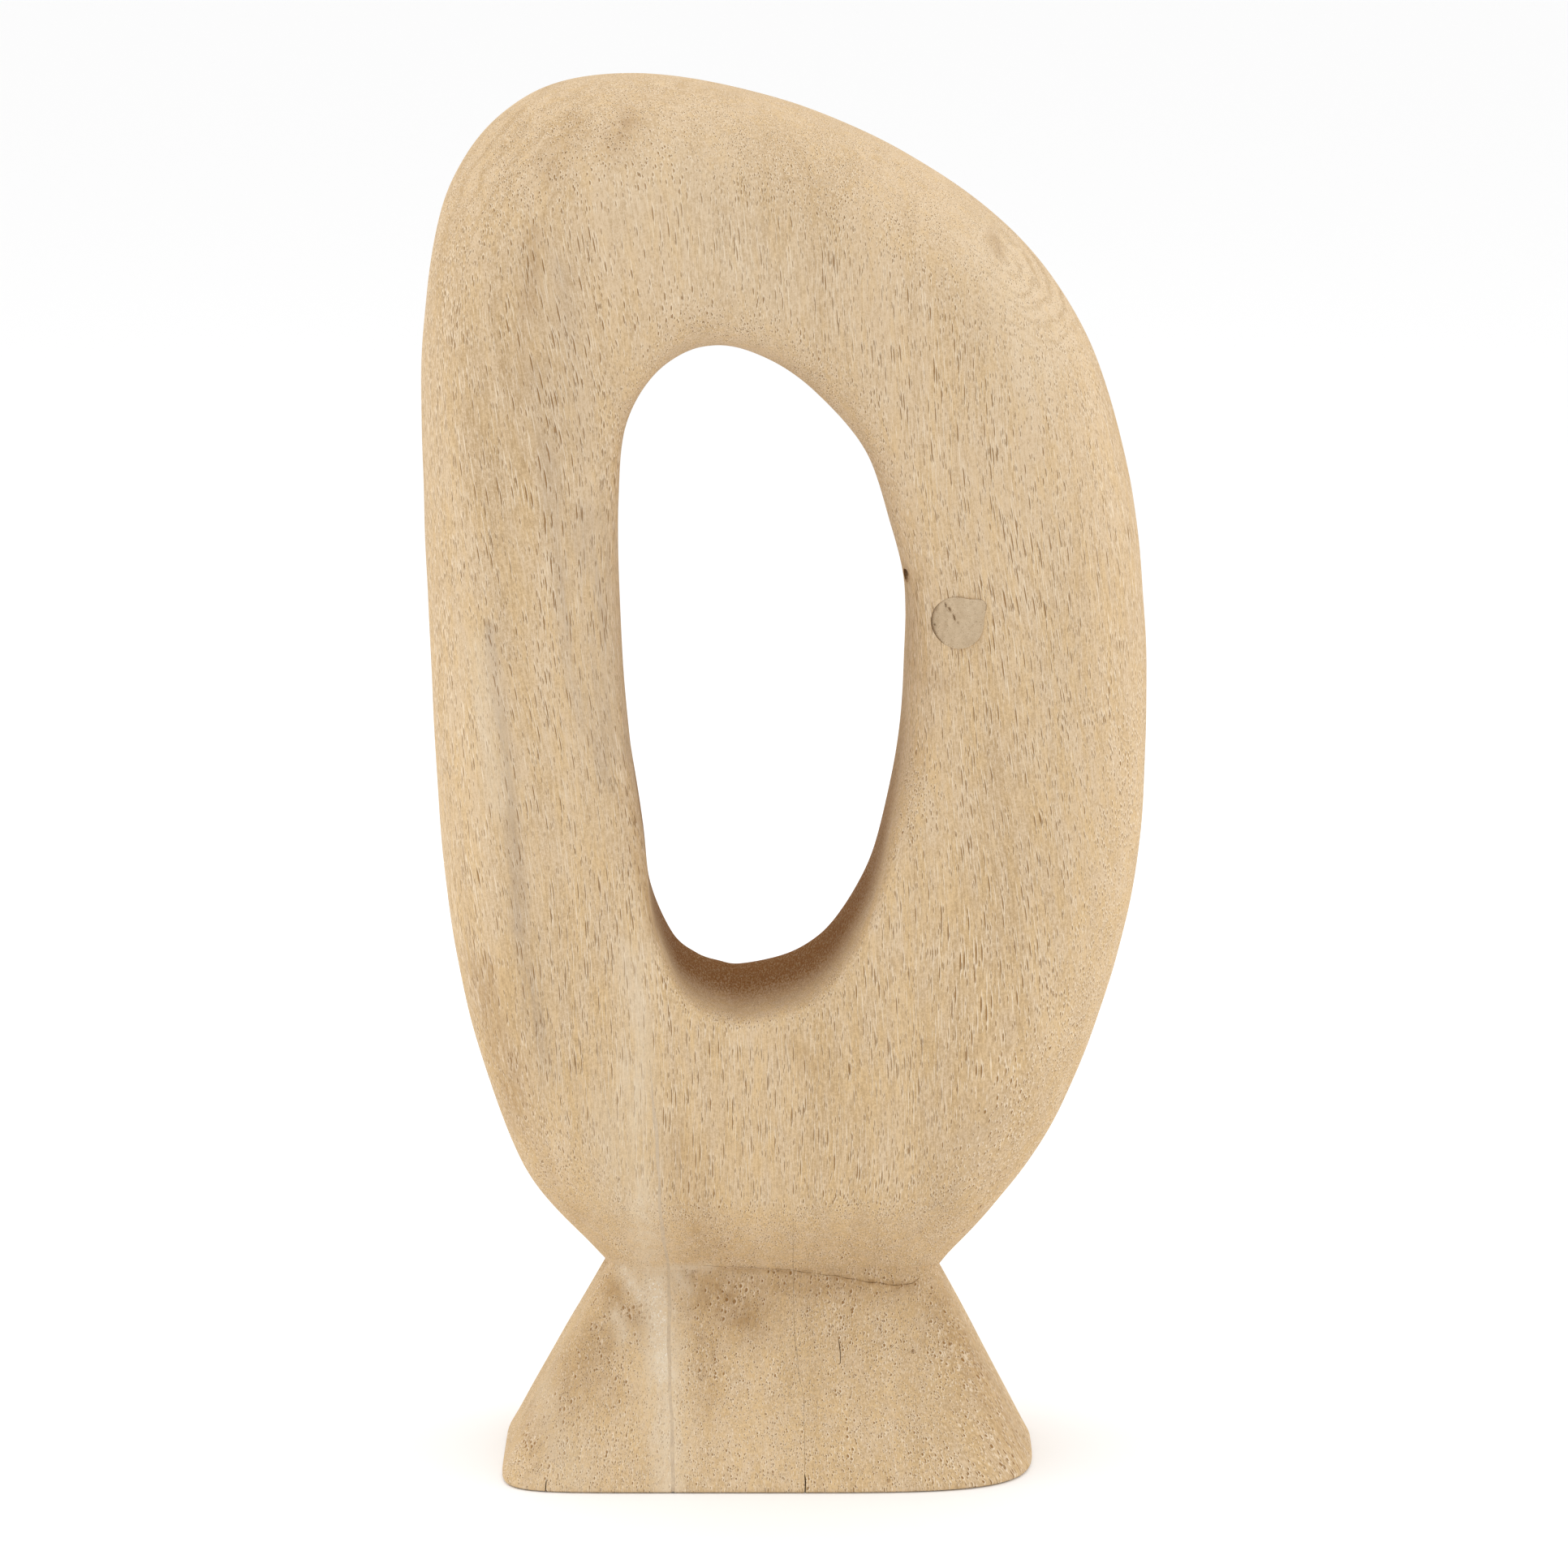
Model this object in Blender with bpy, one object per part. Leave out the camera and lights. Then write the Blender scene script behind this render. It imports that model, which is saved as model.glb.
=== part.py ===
"""A free-standing abstract carving: a tall, lopsided wooden loop on a flared foot.

The loop and the foot are cut from one block. A knot in the right limb is stopped with a
round plug, and a drying check down the front of the belly and the foot is filled with a
thin blade of hard filler. Metres, +Z up, front towards -Y, origin under the middle.
"""

import math

import bmesh
import bpy
import numpy as np

# Loop
OVERALL_HEIGHT = 0.400
RING_WIDTH = 0.2056
RING_DEPTH = 0.080
LEFT_LIMB = 0.0545  # wood between the hole and the left side
RIGHT_LIMB = 0.0685  # wood between the hole and the right side
TOP_RAIL = 0.0739  # wood over the hole
BELLY_HEIGHT = 0.0834  # wood between the neck and the hole
HOLE_SPLAY = 0.0045  # the hole's left wall stands this much further right at the front
HOLE_EDGE_POWER = 6.0  # a high power is a square edge, 2 is a round one
OUTER_EDGE_POWER = 2.35

# Neck and foot
NECK_HEIGHT = 0.055
NECK_WIDTH = 0.0962
NECK_DEPTH = 0.034
NECK_SHIFT = -0.0042  # sideways, from the middle of the loop
NECK_SINK = 0.0045  # how far the loop's underside runs down into the neck
BELLY_TAPER_HEIGHT = 0.030  # the belly thins towards the neck over this height
BELLY_TAPER_DEPTH = 0.052  # depth that the taper brings the loop down to
FOOT_WIDTH = 0.155
FOOT_DEPTH = 0.094
FOOT_SHIFT = -0.0052
FOOT_EDGE_RADIUS = 0.0015
FOOT_CORE_RISE = 0.012  # how far the foot runs up inside the belly
FRONT_LEFT_POWERS = (5.0, 9.0)  # plan corners at the neck, and at the base
FRONT_RIGHT_POWERS = (8.0, 4.2)
BACK_LEFT_POWERS = (5.0, 3.0)
BACK_RIGHT_POWERS = (3.0, 2.3)

# Knot plug
FIT_GAP = 0.0003
PLUG_RADIUS = 0.0073
PLUG_POINT = 0.0024  # how far the plug's one pointed corner stands out of its round
PLUG_POINT_ANGLE = math.radians(38.0)
PLUG_POINT_SPREAD = math.radians(26.0)
PLUG_FROM_RIGHT = 0.0552  # plug centre, in from the loop's right side
PLUG_HEIGHT = 0.2515
PLUG_LENGTH = 0.009
PLUG_RECESS = 0.0004

# Drying check and its filler
CHECK_WIDTH = 0.0014
CHECK_DEPTH = 0.007
CHECK_TOP_BELOW_HOLE = 0.012
CHECK_TOP_OFFSET = -0.0340  # sideways from the neck's middle
CHECK_NECK_OFFSET = -0.0298
CHECK_BASE_OFFSET = -0.0282
FILLER_RECESS = 0.0002

# Fineness of the surfaces
RING_STEPS = 84
SECTION_STEPS = 28
FOOT_STEPS = 56
FOOT_LEVELS = 7
EDGE_LEVELS = 3
PLUG_STEPS = 36
CHECK_STEPS = 18
SHARP_ANGLE = math.radians(40.0)
OVERSHOOT = 0.004  # how far a cutter stands out of the wood

# The carver's outline, as pairs of points across the wood, in millimetres: the outer edge,
# then the hole's edge. They start under the hole and run round by the right limb.
OUTLINE_STATIONS = (
    ((-4, 50.5), (-12, 136.8)),
    ((22, 50.6), (0.2, 139.5)),
    ((40, 51.6), (8.7, 144.2)),
    ((49, 60), (15.1, 150.8)),
    ((62.5, 76), (21.5, 161.5)),
    ((77, 97.3), (26.5, 174)),
    ((90.3, 129), (31, 194)),
    ((100.7, 170), (33.8, 213)),
    ((103.4, 213), (34.7, 232)),
    ((102.4, 251), (35, 246)),
    ((97.5, 289), (34, 259)),
    ((86, 326), (30.4, 275)),
    ((65, 355.5), (23, 297)),
    ((32.2, 378.6), (9, 314)),
    ((-1.4, 392.9), (-5.5, 324.2)),
    ((-42, 400), (-20, 327.7)),
    ((-73, 393.5), (-35.5, 322.0)),
    ((-93.5, 370), (-45, 307)),
    ((-101.5, 332), (-47.5, 285)),
    ((-102.2, 285), (-47.3, 258)),
    ((-100.6, 230), (-46, 232)),
    ((-97.5, 172), (-43.8, 207)),
    ((-90, 127), (-40.5, 184)),
    ((-76.3, 87), (-38, 163)),
    ((-57, 62.5), (-31.4, 146.5)),
    ((-45, 52), (-24.4, 140.2)),
    ((-27, 50.6), (-18.2, 137.8)),
)


def clear_scene():
    for old in list(bpy.data.objects):
        bpy.data.objects.remove(old, do_unlink=True)


def plain_material(name, color, roughness):
    material = bpy.data.materials.new(name)
    material.use_nodes = True
    shader = material.node_tree.nodes["Principled BSDF"]
    shader.inputs["Base Color"].default_value = (*color, 1.0)
    shader.inputs["Roughness"].default_value = roughness
    shader.inputs["Metallic"].default_value = 0.0
    return material


def bare_hardwood():
    return plain_material("bare_hardwood", (0.64, 0.47, 0.27), 0.72)


def knot_wood():
    return plain_material("knot_wood", (0.52, 0.38, 0.23), 0.80)


def pale_filler():
    return plain_material("pale_filler", (0.68, 0.54, 0.36), 0.85)


def closed_curve(points, steps):
    """A closed Catmull-Rom curve through the points, at evenly spaced steps of its parameter."""
    points = np.asarray(points, float)
    place = np.arange(steps) * len(points) / steps
    first = place.astype(int)
    t = (place - first)[:, None]
    before, start, end, after = (points[(first + k) % len(points)] for k in (-1, 0, 1, 2))
    start_slope = (end - before) / 2
    end_slope = (after - start) / 2
    return (
        start * (2 * t**3 - 3 * t**2 + 1)
        + start_slope * (t**3 - 2 * t**2 + t)
        + end * (3 * t**2 - 2 * t**3)
        + end_slope * (t**3 - t**2)
    )


def stretched(values, low, high):
    """The values, moved and scaled so that they run from low to high."""
    share = (values - values.min()) / (values.max() - values.min())
    return low + share * (high - low)


def smooth_share(values):
    """0 below 0, 1 above 1, and a smooth rise between."""
    share = np.clip(values, 0.0, 1.0)
    return share * share * (3 - 2 * share)


def powered(values, power):
    return np.sign(values) * np.abs(values) ** (2 / power)


def outline_pairs(steps):
    """The outer edge and the hole's edge at matching steps, as x and z."""
    stations = np.array(OUTLINE_STATIONS, float)
    outer = closed_curve(stations[:, 0], steps)
    hole = closed_curve(stations[:, 1], steps)
    half = RING_WIDTH / 2
    outer_x = stretched(outer[:, 0], -half, half)
    outer_z = stretched(outer[:, 1], NECK_HEIGHT - NECK_SINK, OVERALL_HEIGHT)
    hole_x = stretched(hole[:, 0], LEFT_LIMB - half, half - RIGHT_LIMB)
    hole_z = stretched(hole[:, 1], NECK_HEIGHT + BELLY_HEIGHT, OVERALL_HEIGHT - TOP_RAIL)
    return outer_x, outer_z, hole_x, hole_z


def belly_half_depth(height):
    """Half the loop's depth at a height: full above the belly, thinner towards the neck."""
    rise = smooth_share((height - NECK_HEIGHT) / BELLY_TAPER_HEIGHT)
    return (BELLY_TAPER_DEPTH + (RING_DEPTH - BELLY_TAPER_DEPTH) * rise) / 2


def ring_points():
    """Grid of points: one row for each step round the loop, one column round its section."""
    outer_x, outer_z, hole_x, hole_z = (line[:, None] for line in outline_pairs(RING_STEPS))
    angle = np.arange(SECTION_STEPS) * 2 * np.pi / SECTION_STEPS
    across, through = np.cos(angle), np.sin(angle)
    power = np.where(across < 0, HOLE_EDGE_POWER, OUTER_EDGE_POWER)
    outward = powered(across, power)
    backward = powered(through, power)
    x = (outer_x + hole_x) / 2 + outward * (outer_x - hole_x) / 2
    z = (outer_z + hole_z) / 2 + outward * (outer_z - hole_z) / 2
    left_share = (hole_x.max() - hole_x) / (hole_x.max() - hole_x.min())
    inner_share = (1 - outward) / 2
    x = x - backward * inner_share * left_share * HOLE_SPLAY / 2
    y = backward * belly_half_depth(z)
    return np.stack([x, y, z], axis=2)


def plan_outline(half_width, half_depth, front_left, front_right, back_left, back_right):
    """A rounded rectangle in plan whose corners have powers of their own."""
    angle = np.arange(FOOT_STEPS) * 2 * np.pi / FOOT_STEPS
    across, through = np.cos(angle), np.sin(angle)
    front = np.where(across < 0, front_left, front_right)
    back = np.where(across < 0, back_left, back_right)
    power = np.where(through > 0, back, front)
    return half_width * powered(across, power), half_depth * powered(through, power)


def foot_levels():
    """Heights of the foot's sections, and how far each is drawn in by the rounded bottom edge."""
    turn = np.linspace(0, np.pi / 2, EDGE_LEVELS, endpoint=False)
    edge_heights = FOOT_EDGE_RADIUS * (1 - np.cos(turn))
    edge_insets = FOOT_EDGE_RADIUS * (1 - np.sin(turn))
    heights = np.linspace(FOOT_EDGE_RADIUS, NECK_HEIGHT + FOOT_CORE_RISE, FOOT_LEVELS)
    return np.append(edge_heights, heights), np.append(edge_insets, np.zeros(FOOT_LEVELS))


def foot_points():
    """Grid of points: one row for each level of the foot, from the base up."""
    corner_powers = (FRONT_LEFT_POWERS, FRONT_RIGHT_POWERS, BACK_LEFT_POWERS, BACK_RIGHT_POWERS)
    rows = []
    for height, inset in zip(*foot_levels()):
        flare = 1 - height / NECK_HEIGHT
        half_width = (NECK_WIDTH + (FOOT_WIDTH - NECK_WIDTH) * flare) / 2 - inset
        half_depth = (NECK_DEPTH + (FOOT_DEPTH - NECK_DEPTH) * flare) / 2 - inset
        shift = NECK_SHIFT + (FOOT_SHIFT - NECK_SHIFT) * flare
        powers = (np.interp(flare, (0.0, 1.0), pair) for pair in corner_powers)
        x, y = plan_outline(half_width, half_depth, *powers)
        rows.append(np.stack([x + shift, y, np.full_like(x, height)], axis=1))
    return np.array(rows)


def foot_front(height):
    """Distance from the middle to the foot's front face at a height."""
    flare = 1 - height / NECK_HEIGHT
    return (NECK_DEPTH + (FOOT_DEPTH - NECK_DEPTH) * flare) / 2


def belly_front(height):
    """Distance from the middle to the belly's front face at a height, near its centre line."""
    lowest = NECK_HEIGHT - NECK_SINK
    half = (NECK_HEIGHT + BELLY_HEIGHT - lowest) / 2
    outward = np.clip((lowest + half - height) / half, 0.0, 1.0)
    return belly_half_depth(height) * (1 - outward**OUTER_EDGE_POWER) ** (1 / OUTER_EDGE_POWER)


def plug_outline(extra):
    """The plug's face: a circle with one softly pointed corner, as x and z offsets."""
    angle = np.arange(PLUG_STEPS) * 2 * np.pi / PLUG_STEPS
    off_point = (angle - PLUG_POINT_ANGLE + np.pi) % (2 * np.pi) - np.pi
    radius = PLUG_RADIUS + extra + PLUG_POINT * np.exp(-((off_point / PLUG_POINT_SPREAD) ** 2))
    return radius * np.cos(angle), radius * np.sin(angle)


def check_line():
    """The check's route down the front, as x, the depth of the kerf's floor, and z."""
    top = NECK_HEIGHT + BELLY_HEIGHT - CHECK_TOP_BELOW_HOLE
    height = np.linspace(top, -OVERSHOOT, CHECK_STEPS)
    along = np.interp(height, (0, NECK_HEIGHT, top), (2.0, 1.0, 0.0))
    offset = np.interp(
        along, (0, 1, 2), (CHECK_TOP_OFFSET, CHECK_NECK_OFFSET, CHECK_BASE_OFFSET)
    )
    front = np.where(height > NECK_HEIGHT, belly_front(height), foot_front(height))
    return NECK_SHIFT + offset, CHECK_DEPTH - front, height


def new_object(name, mesh, material=None):
    obj = bpy.data.objects.new(name, mesh)
    bpy.context.scene.collection.objects.link(obj)
    if material:
        mesh.materials.append(material)
    return obj


def as_helper(obj):
    obj.hide_render = True
    obj.display_type = "WIRE"
    return obj


def finished_mesh(name, bm):
    """The bmesh as a mesh whose faces point out, shaded smooth with sharp edges kept."""
    bmesh.ops.recalc_face_normals(bm, faces=bm.faces)
    mesh = bpy.data.meshes.new(name)
    bm.to_mesh(mesh)
    bm.free()
    mesh.shade_smooth()
    mesh.set_sharp_from_angle(angle=SHARP_ANGLE)
    return mesh


def loop_of(bm, row):
    """A closed loop of edges through the points of one row."""
    verts = [bm.verts.new(point) for point in row]
    return [bm.edges.new((verts[i - 1], verts[i])) for i in range(len(verts))]


def lofted_mesh(name, rows, closed):
    """Skins the rows in order: joined end to end where closed, or else capped at both ends."""
    bm = bmesh.new()
    loops = [loop_of(bm, row) for row in rows]
    for lower, upper in zip(loops, loops[1:]):
        bmesh.ops.bridge_loops(bm, edges=lower + upper)
    if closed:
        bmesh.ops.bridge_loops(bm, edges=loops[-1] + loops[0])
    else:
        bmesh.ops.contextual_create(bm, geom=loops[0])
        bmesh.ops.contextual_create(bm, geom=loops[-1])
    return finished_mesh(name, bm)


def prism_mesh(name, x, z, front, back):
    """An outline in x and z, carried straight back from front to back."""
    bm = bmesh.new()
    verts = [bm.verts.new((a, front, b)) for a, b in zip(x, z)]
    face = bm.faces.new(verts)
    grown = bmesh.ops.extrude_face_region(bm, geom=[face])
    moved = [item for item in grown["geom"] if isinstance(item, bmesh.types.BMVert)]
    bmesh.ops.translate(bm, verts=moved, vec=(0, back - front, 0))
    return finished_mesh(name, bm)


def blade_mesh(name, width, gap, bottom):
    """A thin upright blade down the check's route. It runs from the gap short of the kerf's
    floor out past the front, and stops the gap short of the kerf's top."""
    x, floor, z = check_line()
    front = -max(RING_DEPTH, FOOT_DEPTH) / 2 - OVERSHOOT
    heights = np.clip(z, bottom, z[0] - gap)
    left, right, back = x - width / 2, x + width / 2, floor - gap
    corners = ((left, front), (right, front), (right, back), (left, back))
    lines = [np.broadcast_arrays(side, depth, heights) for side, depth in corners]
    rows = np.array(lines).transpose(2, 0, 1)
    moved_on = np.append(True, np.diff(heights) < 0)
    return lofted_mesh(name, rows[moved_on], closed=False)


def boolean(target, operation, other, name):
    modifier = target.modifiers.new(name, "BOOLEAN")
    modifier.operation = operation
    modifier.object = other
    modifier.solver = "EXACT"


def block_form(name, foot):
    """The loop and the foot as one uncut shape."""
    form = new_object(name, lofted_mesh(name, ring_points(), closed=True))
    boolean(form, "UNION", foot, "foot")
    return form


def make_plug_socket():
    x, z = plug_outline(FIT_GAP)
    face = -RING_DEPTH / 2
    mesh = prism_mesh(
        "plug_socket",
        x + RING_WIDTH / 2 - PLUG_FROM_RIGHT,
        z + PLUG_HEIGHT,
        face - OVERSHOOT,
        face + PLUG_LENGTH + FIT_GAP,
    )
    return as_helper(new_object("plug_socket", mesh))


def make_check_kerf():
    mesh = blade_mesh("check_kerf", CHECK_WIDTH + 2 * FIT_GAP, 0.0, -OVERSHOOT)
    return as_helper(new_object("check_kerf", mesh))


def make_carved_body(foot, socket, kerf):
    body = block_form("carved_body", foot)
    body.data.materials.append(bare_hardwood())
    boolean(body, "DIFFERENCE", socket, "plug_socket")
    boolean(body, "DIFFERENCE", kerf, "check_kerf")
    return body


def make_knot_plug(foot):
    x, z = plug_outline(0.0)
    face = -RING_DEPTH / 2
    mesh = prism_mesh(
        "knot_plug",
        x + RING_WIDTH / 2 - PLUG_FROM_RIGHT,
        z + PLUG_HEIGHT,
        face - OVERSHOOT,
        face + PLUG_LENGTH,
    )
    plug = new_object("knot_plug", mesh, knot_wood())
    form = as_helper(block_form("plug_face_form", foot))
    form.location.y = PLUG_RECESS
    boolean(plug, "INTERSECT", form, "face")
    return plug


def make_check_filler(foot):
    mesh = blade_mesh("check_filler", CHECK_WIDTH, FIT_GAP, FIT_GAP)
    filler = new_object("check_filler", mesh, pale_filler())
    form = as_helper(block_form("filler_face_form", foot))
    form.location.y = FILLER_RECESS
    boolean(filler, "INTERSECT", form, "face")
    return filler


def main():
    clear_scene()
    foot = as_helper(new_object("foot_form", lofted_mesh("foot_form", foot_points(), closed=False)))
    make_carved_body(foot, make_plug_socket(), make_check_kerf())
    make_knot_plug(foot)
    make_check_filler(foot)


main()
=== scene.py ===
"""A carved wooden loop on a flared foot: its surfaces, its finishes and a plain studio.

The file is laid out as a Blender add-on and is run as a script. Every shape is a surface worked
out with numpy in metres, +Z up, front towards -Y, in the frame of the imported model.
"""

import math

import bmesh
import bpy
import numpy as np
from bpy.props import FloatProperty, FloatVectorProperty, IntProperty, PointerProperty
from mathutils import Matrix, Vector


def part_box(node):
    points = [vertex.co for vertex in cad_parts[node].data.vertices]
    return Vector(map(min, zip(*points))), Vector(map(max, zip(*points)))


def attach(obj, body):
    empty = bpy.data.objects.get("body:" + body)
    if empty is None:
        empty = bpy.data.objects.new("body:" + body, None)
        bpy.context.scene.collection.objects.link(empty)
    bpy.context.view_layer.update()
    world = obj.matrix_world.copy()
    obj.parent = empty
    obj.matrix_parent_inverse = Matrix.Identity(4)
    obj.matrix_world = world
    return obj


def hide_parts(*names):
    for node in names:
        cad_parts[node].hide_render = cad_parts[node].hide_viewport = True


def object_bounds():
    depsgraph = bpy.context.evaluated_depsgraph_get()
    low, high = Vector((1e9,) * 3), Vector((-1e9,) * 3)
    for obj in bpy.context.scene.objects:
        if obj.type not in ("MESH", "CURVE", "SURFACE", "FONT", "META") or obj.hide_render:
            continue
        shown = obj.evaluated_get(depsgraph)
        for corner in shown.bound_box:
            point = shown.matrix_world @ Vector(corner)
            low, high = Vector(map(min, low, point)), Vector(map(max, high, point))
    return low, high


bl_info = {
    "name": "Carved Loop",
    "version": (1, 0, 0),
    "blender": (4, 5, 0),
    "location": "View3D > Sidebar > Carved Loop",
    "description": "Builds a carved wooden loop with its stopped knot, its filled check and a studio",
    "category": "Object",
}

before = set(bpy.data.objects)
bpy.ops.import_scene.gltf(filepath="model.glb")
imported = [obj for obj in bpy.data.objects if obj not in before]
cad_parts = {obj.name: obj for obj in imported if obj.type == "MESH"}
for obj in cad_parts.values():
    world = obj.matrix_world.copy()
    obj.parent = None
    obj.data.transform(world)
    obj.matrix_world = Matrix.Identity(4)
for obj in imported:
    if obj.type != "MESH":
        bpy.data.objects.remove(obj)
CAD_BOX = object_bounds()
BODY_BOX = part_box("carved_body")
PLUG_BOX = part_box("knot_plug")
FILLER_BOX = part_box("check_filler")

MM = 0.001
INSIDE = 0.00008  # how far the carved surface stays inside the box of the CAD body
SHARP_ANGLE = math.radians(38)
HOLE_MIDDLE_Z = 0.232  # where the walls of the hole are taken to face
STUDIO_SIDE = 24.0  # of the square floor
LOWEST_SOUNDED = 0.0016  # just over the rounding of the foot's bottom edge
KERF_OVERSHOOT, CUT_OVERSHOOT = 0.002, 0.001  # how far a cutter stands out of the wood
SOCKET_FRONT, SOCKET_SLACK = -0.048, 0.0003  # y in front of the wood, and room behind the plug
FIT_REACH = 0.014  # how much of the wood round the plug its face follows

# The hole's front edge is crisp left of an x and sharp under a z; each comes in over a reach.
LEFT_WALL_X, LEFT_WALL_REACH = -0.024, 0.020
FLOOR_Z, FLOOR_REACH = 0.215, 0.050

# Where points crowd together: the width of the crowd and how much closer its points are. The two
# at the hole's front edge start with the angle of their middle.
CROWD_FRONT_LIP = (math.radians(238), 0.42, 0.9)
CROWD_HOLE_CORNER = (math.radians(225), 0.07, 2.0)
CROWD_NECK = (0.009, 3.0)
CROWD_PLUG = (0.013, 1.6)
EDGE_LEVELS = 5  # levels in the rounding of the foot's bottom edge

# Unevenness, as sine waves: height, length of one radian, and phase.
CHECK_WANDER = ((0.00022, 0.0071, 0.0), (0.00012, 0.0023, 0.0))
CHECK_SWELL = ((0.12, 0.0053, 0.0), (0.08, 0.0019, 1.0))
OPEN_CHECK_WANDER = ((0.0001, 0.0017, 0.0),)
STOP_CUT_WANDER = ((0.0001, 0.0010, 0.0),)
CRACK_WANDER = ((0.0003, 0.0004, 0.0),)
CRACK_BEADS = ((0.45, 0.00019, 0.0),)

# The carver's outline, as pairs of points across the wood, in millimetres: x and z on the outer
# edge, then x and z on the hole's edge. They start under the hole and run round by the right limb.
OUTLINE_STATIONS = (
    (-4, 50.5, -12, 136.8),
    (22, 50.6, 0.2, 139.5),
    (40, 51.6, 8.7, 144.2),
    (49, 60, 15.1, 150.8),
    (62.5, 76, 21.5, 161.5),
    (77, 97.3, 26.5, 174),
    (90.3, 129, 31, 194),
    (100.7, 170, 33.8, 213),
    (103.4, 213, 34.7, 232),
    (102.4, 251, 35, 246),
    (97.5, 289, 34, 259),
    (86, 326, 30.4, 275),
    (65, 355.5, 23, 297),
    (32.2, 378.6, 9, 314),
    (-1.4, 392.9, -5.5, 324.2),
    (-42, 400, -20, 327.7),
    (-73, 393.5, -35.5, 322.0),
    (-93.5, 370, -45, 307),
    (-101.5, 332, -47.5, 285),
    (-102.2, 285, -47.3, 258),
    (-100.6, 230, -46, 232),
    (-97.5, 172, -43.8, 207),
    (-90, 127, -40.5, 184),
    (-76.3, 87, -38, 163),
    (-57, 62.5, -31.4, 146.5),
    (-45, 52, -24.4, 140.2),
    (-27, 50.6, -18.2, 137.8),
)

# Plan corners of the foot, as powers at the neck and at the base: high is square, 2 is round.
FRONT_LEFT_POWERS = (5.0, 9.0)
FRONT_RIGHT_POWERS = (8.0, 4.2)
BACK_LEFT_POWERS = (5.0, 3.0)
BACK_RIGHT_POWERS = (3.0, 2.3)

# Open drying checks: x and z of the points down each, its width, its depth, all in millimetres.
OPEN_CHECKS = {
    "hairline": (((1.9, 84.6), (2.2, 43.5), (3.6, 31.0), (5.0, 24.8), (5.4, 6.0)), 0.12, 0.7),
    "hairline_foot": (((5.3, 5.5), (5.4, 3.0), (5.4, -1.0)), 0.42, 4.0),
    "left_corner": (((-68.6, 3.6), (-68.8, 2.0), (-68.8, -1.0)), 0.36, 2.5),
    "neck_scar": (((15.2, 39.5), (15.5, 36.0), (15.5, 33.1)), 0.42, 1.0),
}

# The carver's stop cut, where the belly meets the foot: x and z along it, then its depth, its
# least width and how much wider it tears open, all in millimetres.
STOP_CUT = (
    (-24, 59.1),
    (-15.6, 58.7),
    (-4.4, 58.0),
    (5.7, 56.5),
    (15.3, 55.4),
    (22.6, 54.1),
    (28.5, 53.5),
    (32.2, 53.0),
    (36.4, 53.6),
    (38.4, 54.7),
)
STOP_CUT_DEPTH, STOP_CUT_LEAST, STOP_CUT_TORN = 0.35, 0.10, 0.42

# Small dents and chips: the middle on the surface as x, z, then half sizes across and along.
DENTS = {
    "belly_pit": (38.4, 72.4, 0.7, 1.0),
    "neck_pit": (36.5, 36.1, 0.6, 0.8),
    "base_pit": (29.3, 3.3, 0.6, 0.7),
    "right_nick_high": (55.5, 78.0, 0.9, 1.6),
    "right_nick_low": (51.0, 69.0, 0.8, 1.2),
}
HOLE_CHIP = (33.6, -24.0, 262.3, 0.9, 6.0, 2.2)  # x, y, z and half sizes, in millimetres

# The plug's crack: a point on it, measured from the plug's middle, its slope, and the two places
# across where it starts and ends, each with the reach that it fades over. Then the pinhole.
CRACK_X, CRACK_Z, CRACK_SLOPE = -0.0034, 0.0053, -1.46
CRACK_ACROSS = 0.56  # share of a step in z that lies across the crack
CRACK_START, CRACK_END = (-0.0038, 0.0006), (0.0010, 0.0016)
PINHOLE_X, PINHOLE_Z, PINHOLE_RADIUS = -0.0062, -0.0013, 0.00026

# Rings of points on the plug, as shares of its outline: at the rim, and on the way in at the back.
RIM_RINGS, BACK_RINGS = (0.98, 0.993, 1.0), (0.7, 0.35, 0.05)
RUBBED_RIM = 0.05  # share of the face that falls away at the rim
RIPPLE_ACROSS, RIPPLE_UP = 0.0011, 0.0013  # length of one radian of the face's ripple

# Marks in the wood's colour on the front, except the rows noted as painted shade and painted
# highlights: x and z of one end, x and z of the other, half width (all in millimetres) and strength.
BROWN_MARKS = (
    (-47, 384, -43, 389, 3.2, 0.95),
    (-66, 376, -58, 388, 3.0, 0.50),
    (-94, 355, -70, 388, 4.0, 0.08),
    (-69, 360, -71, 340, 2.2, 0.70),
    (-71, 340, -74, 318, 2.4, 0.35),
    (-46, 203, -37, 162, 1.6, 0.75),
    (-86, 150, -76, 106, 4.5, 0.80),
    (-76, 106, -60, 78, 3.5, 0.35),
    (-30, 100, -20, 62, 5.0, 0.45),
    (-49, 50, -42, 44, 4.0, 0.95),
    (-46, 48, -72, 12, 5.0, 0.80),
    (-54, 32, -50, 24, 3.5, 0.60),
    (-26, 53, -12, 46, 5.5, 1.15),
    (-24, 42, -22, 24, 3.5, 0.55),
    # This row and the next are painted shadow just under the belly, along the crease.
    (-12, 53, 42, 52, 2.2, 0.60),
    (28, 53, 40, 51, 1.6, 0.60),
    (43, 50, 68, 8, 4.5, 0.70),
    # These four rows are painted shade: the dark line along the stop cut.
    (-24, 58.5, 8, 56.2, 0.9, 1.00),
    (12, 55.6, 22, 54.2, 0.7, 1.10),
    (24, 53.9, 30, 53.3, 0.8, 1.50),
    (31.5, 52.9, 37, 53.3, 0.9, 1.30),
    (34, 262, 37, 234, 3.0, 0.45),
    (34, 238, 44, 234, 2.2, 0.50),
    (57, 357, 59, 353, 1.3, 1.20),
    (0, 132, 8, 124, 2.5, 0.40),
)
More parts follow.
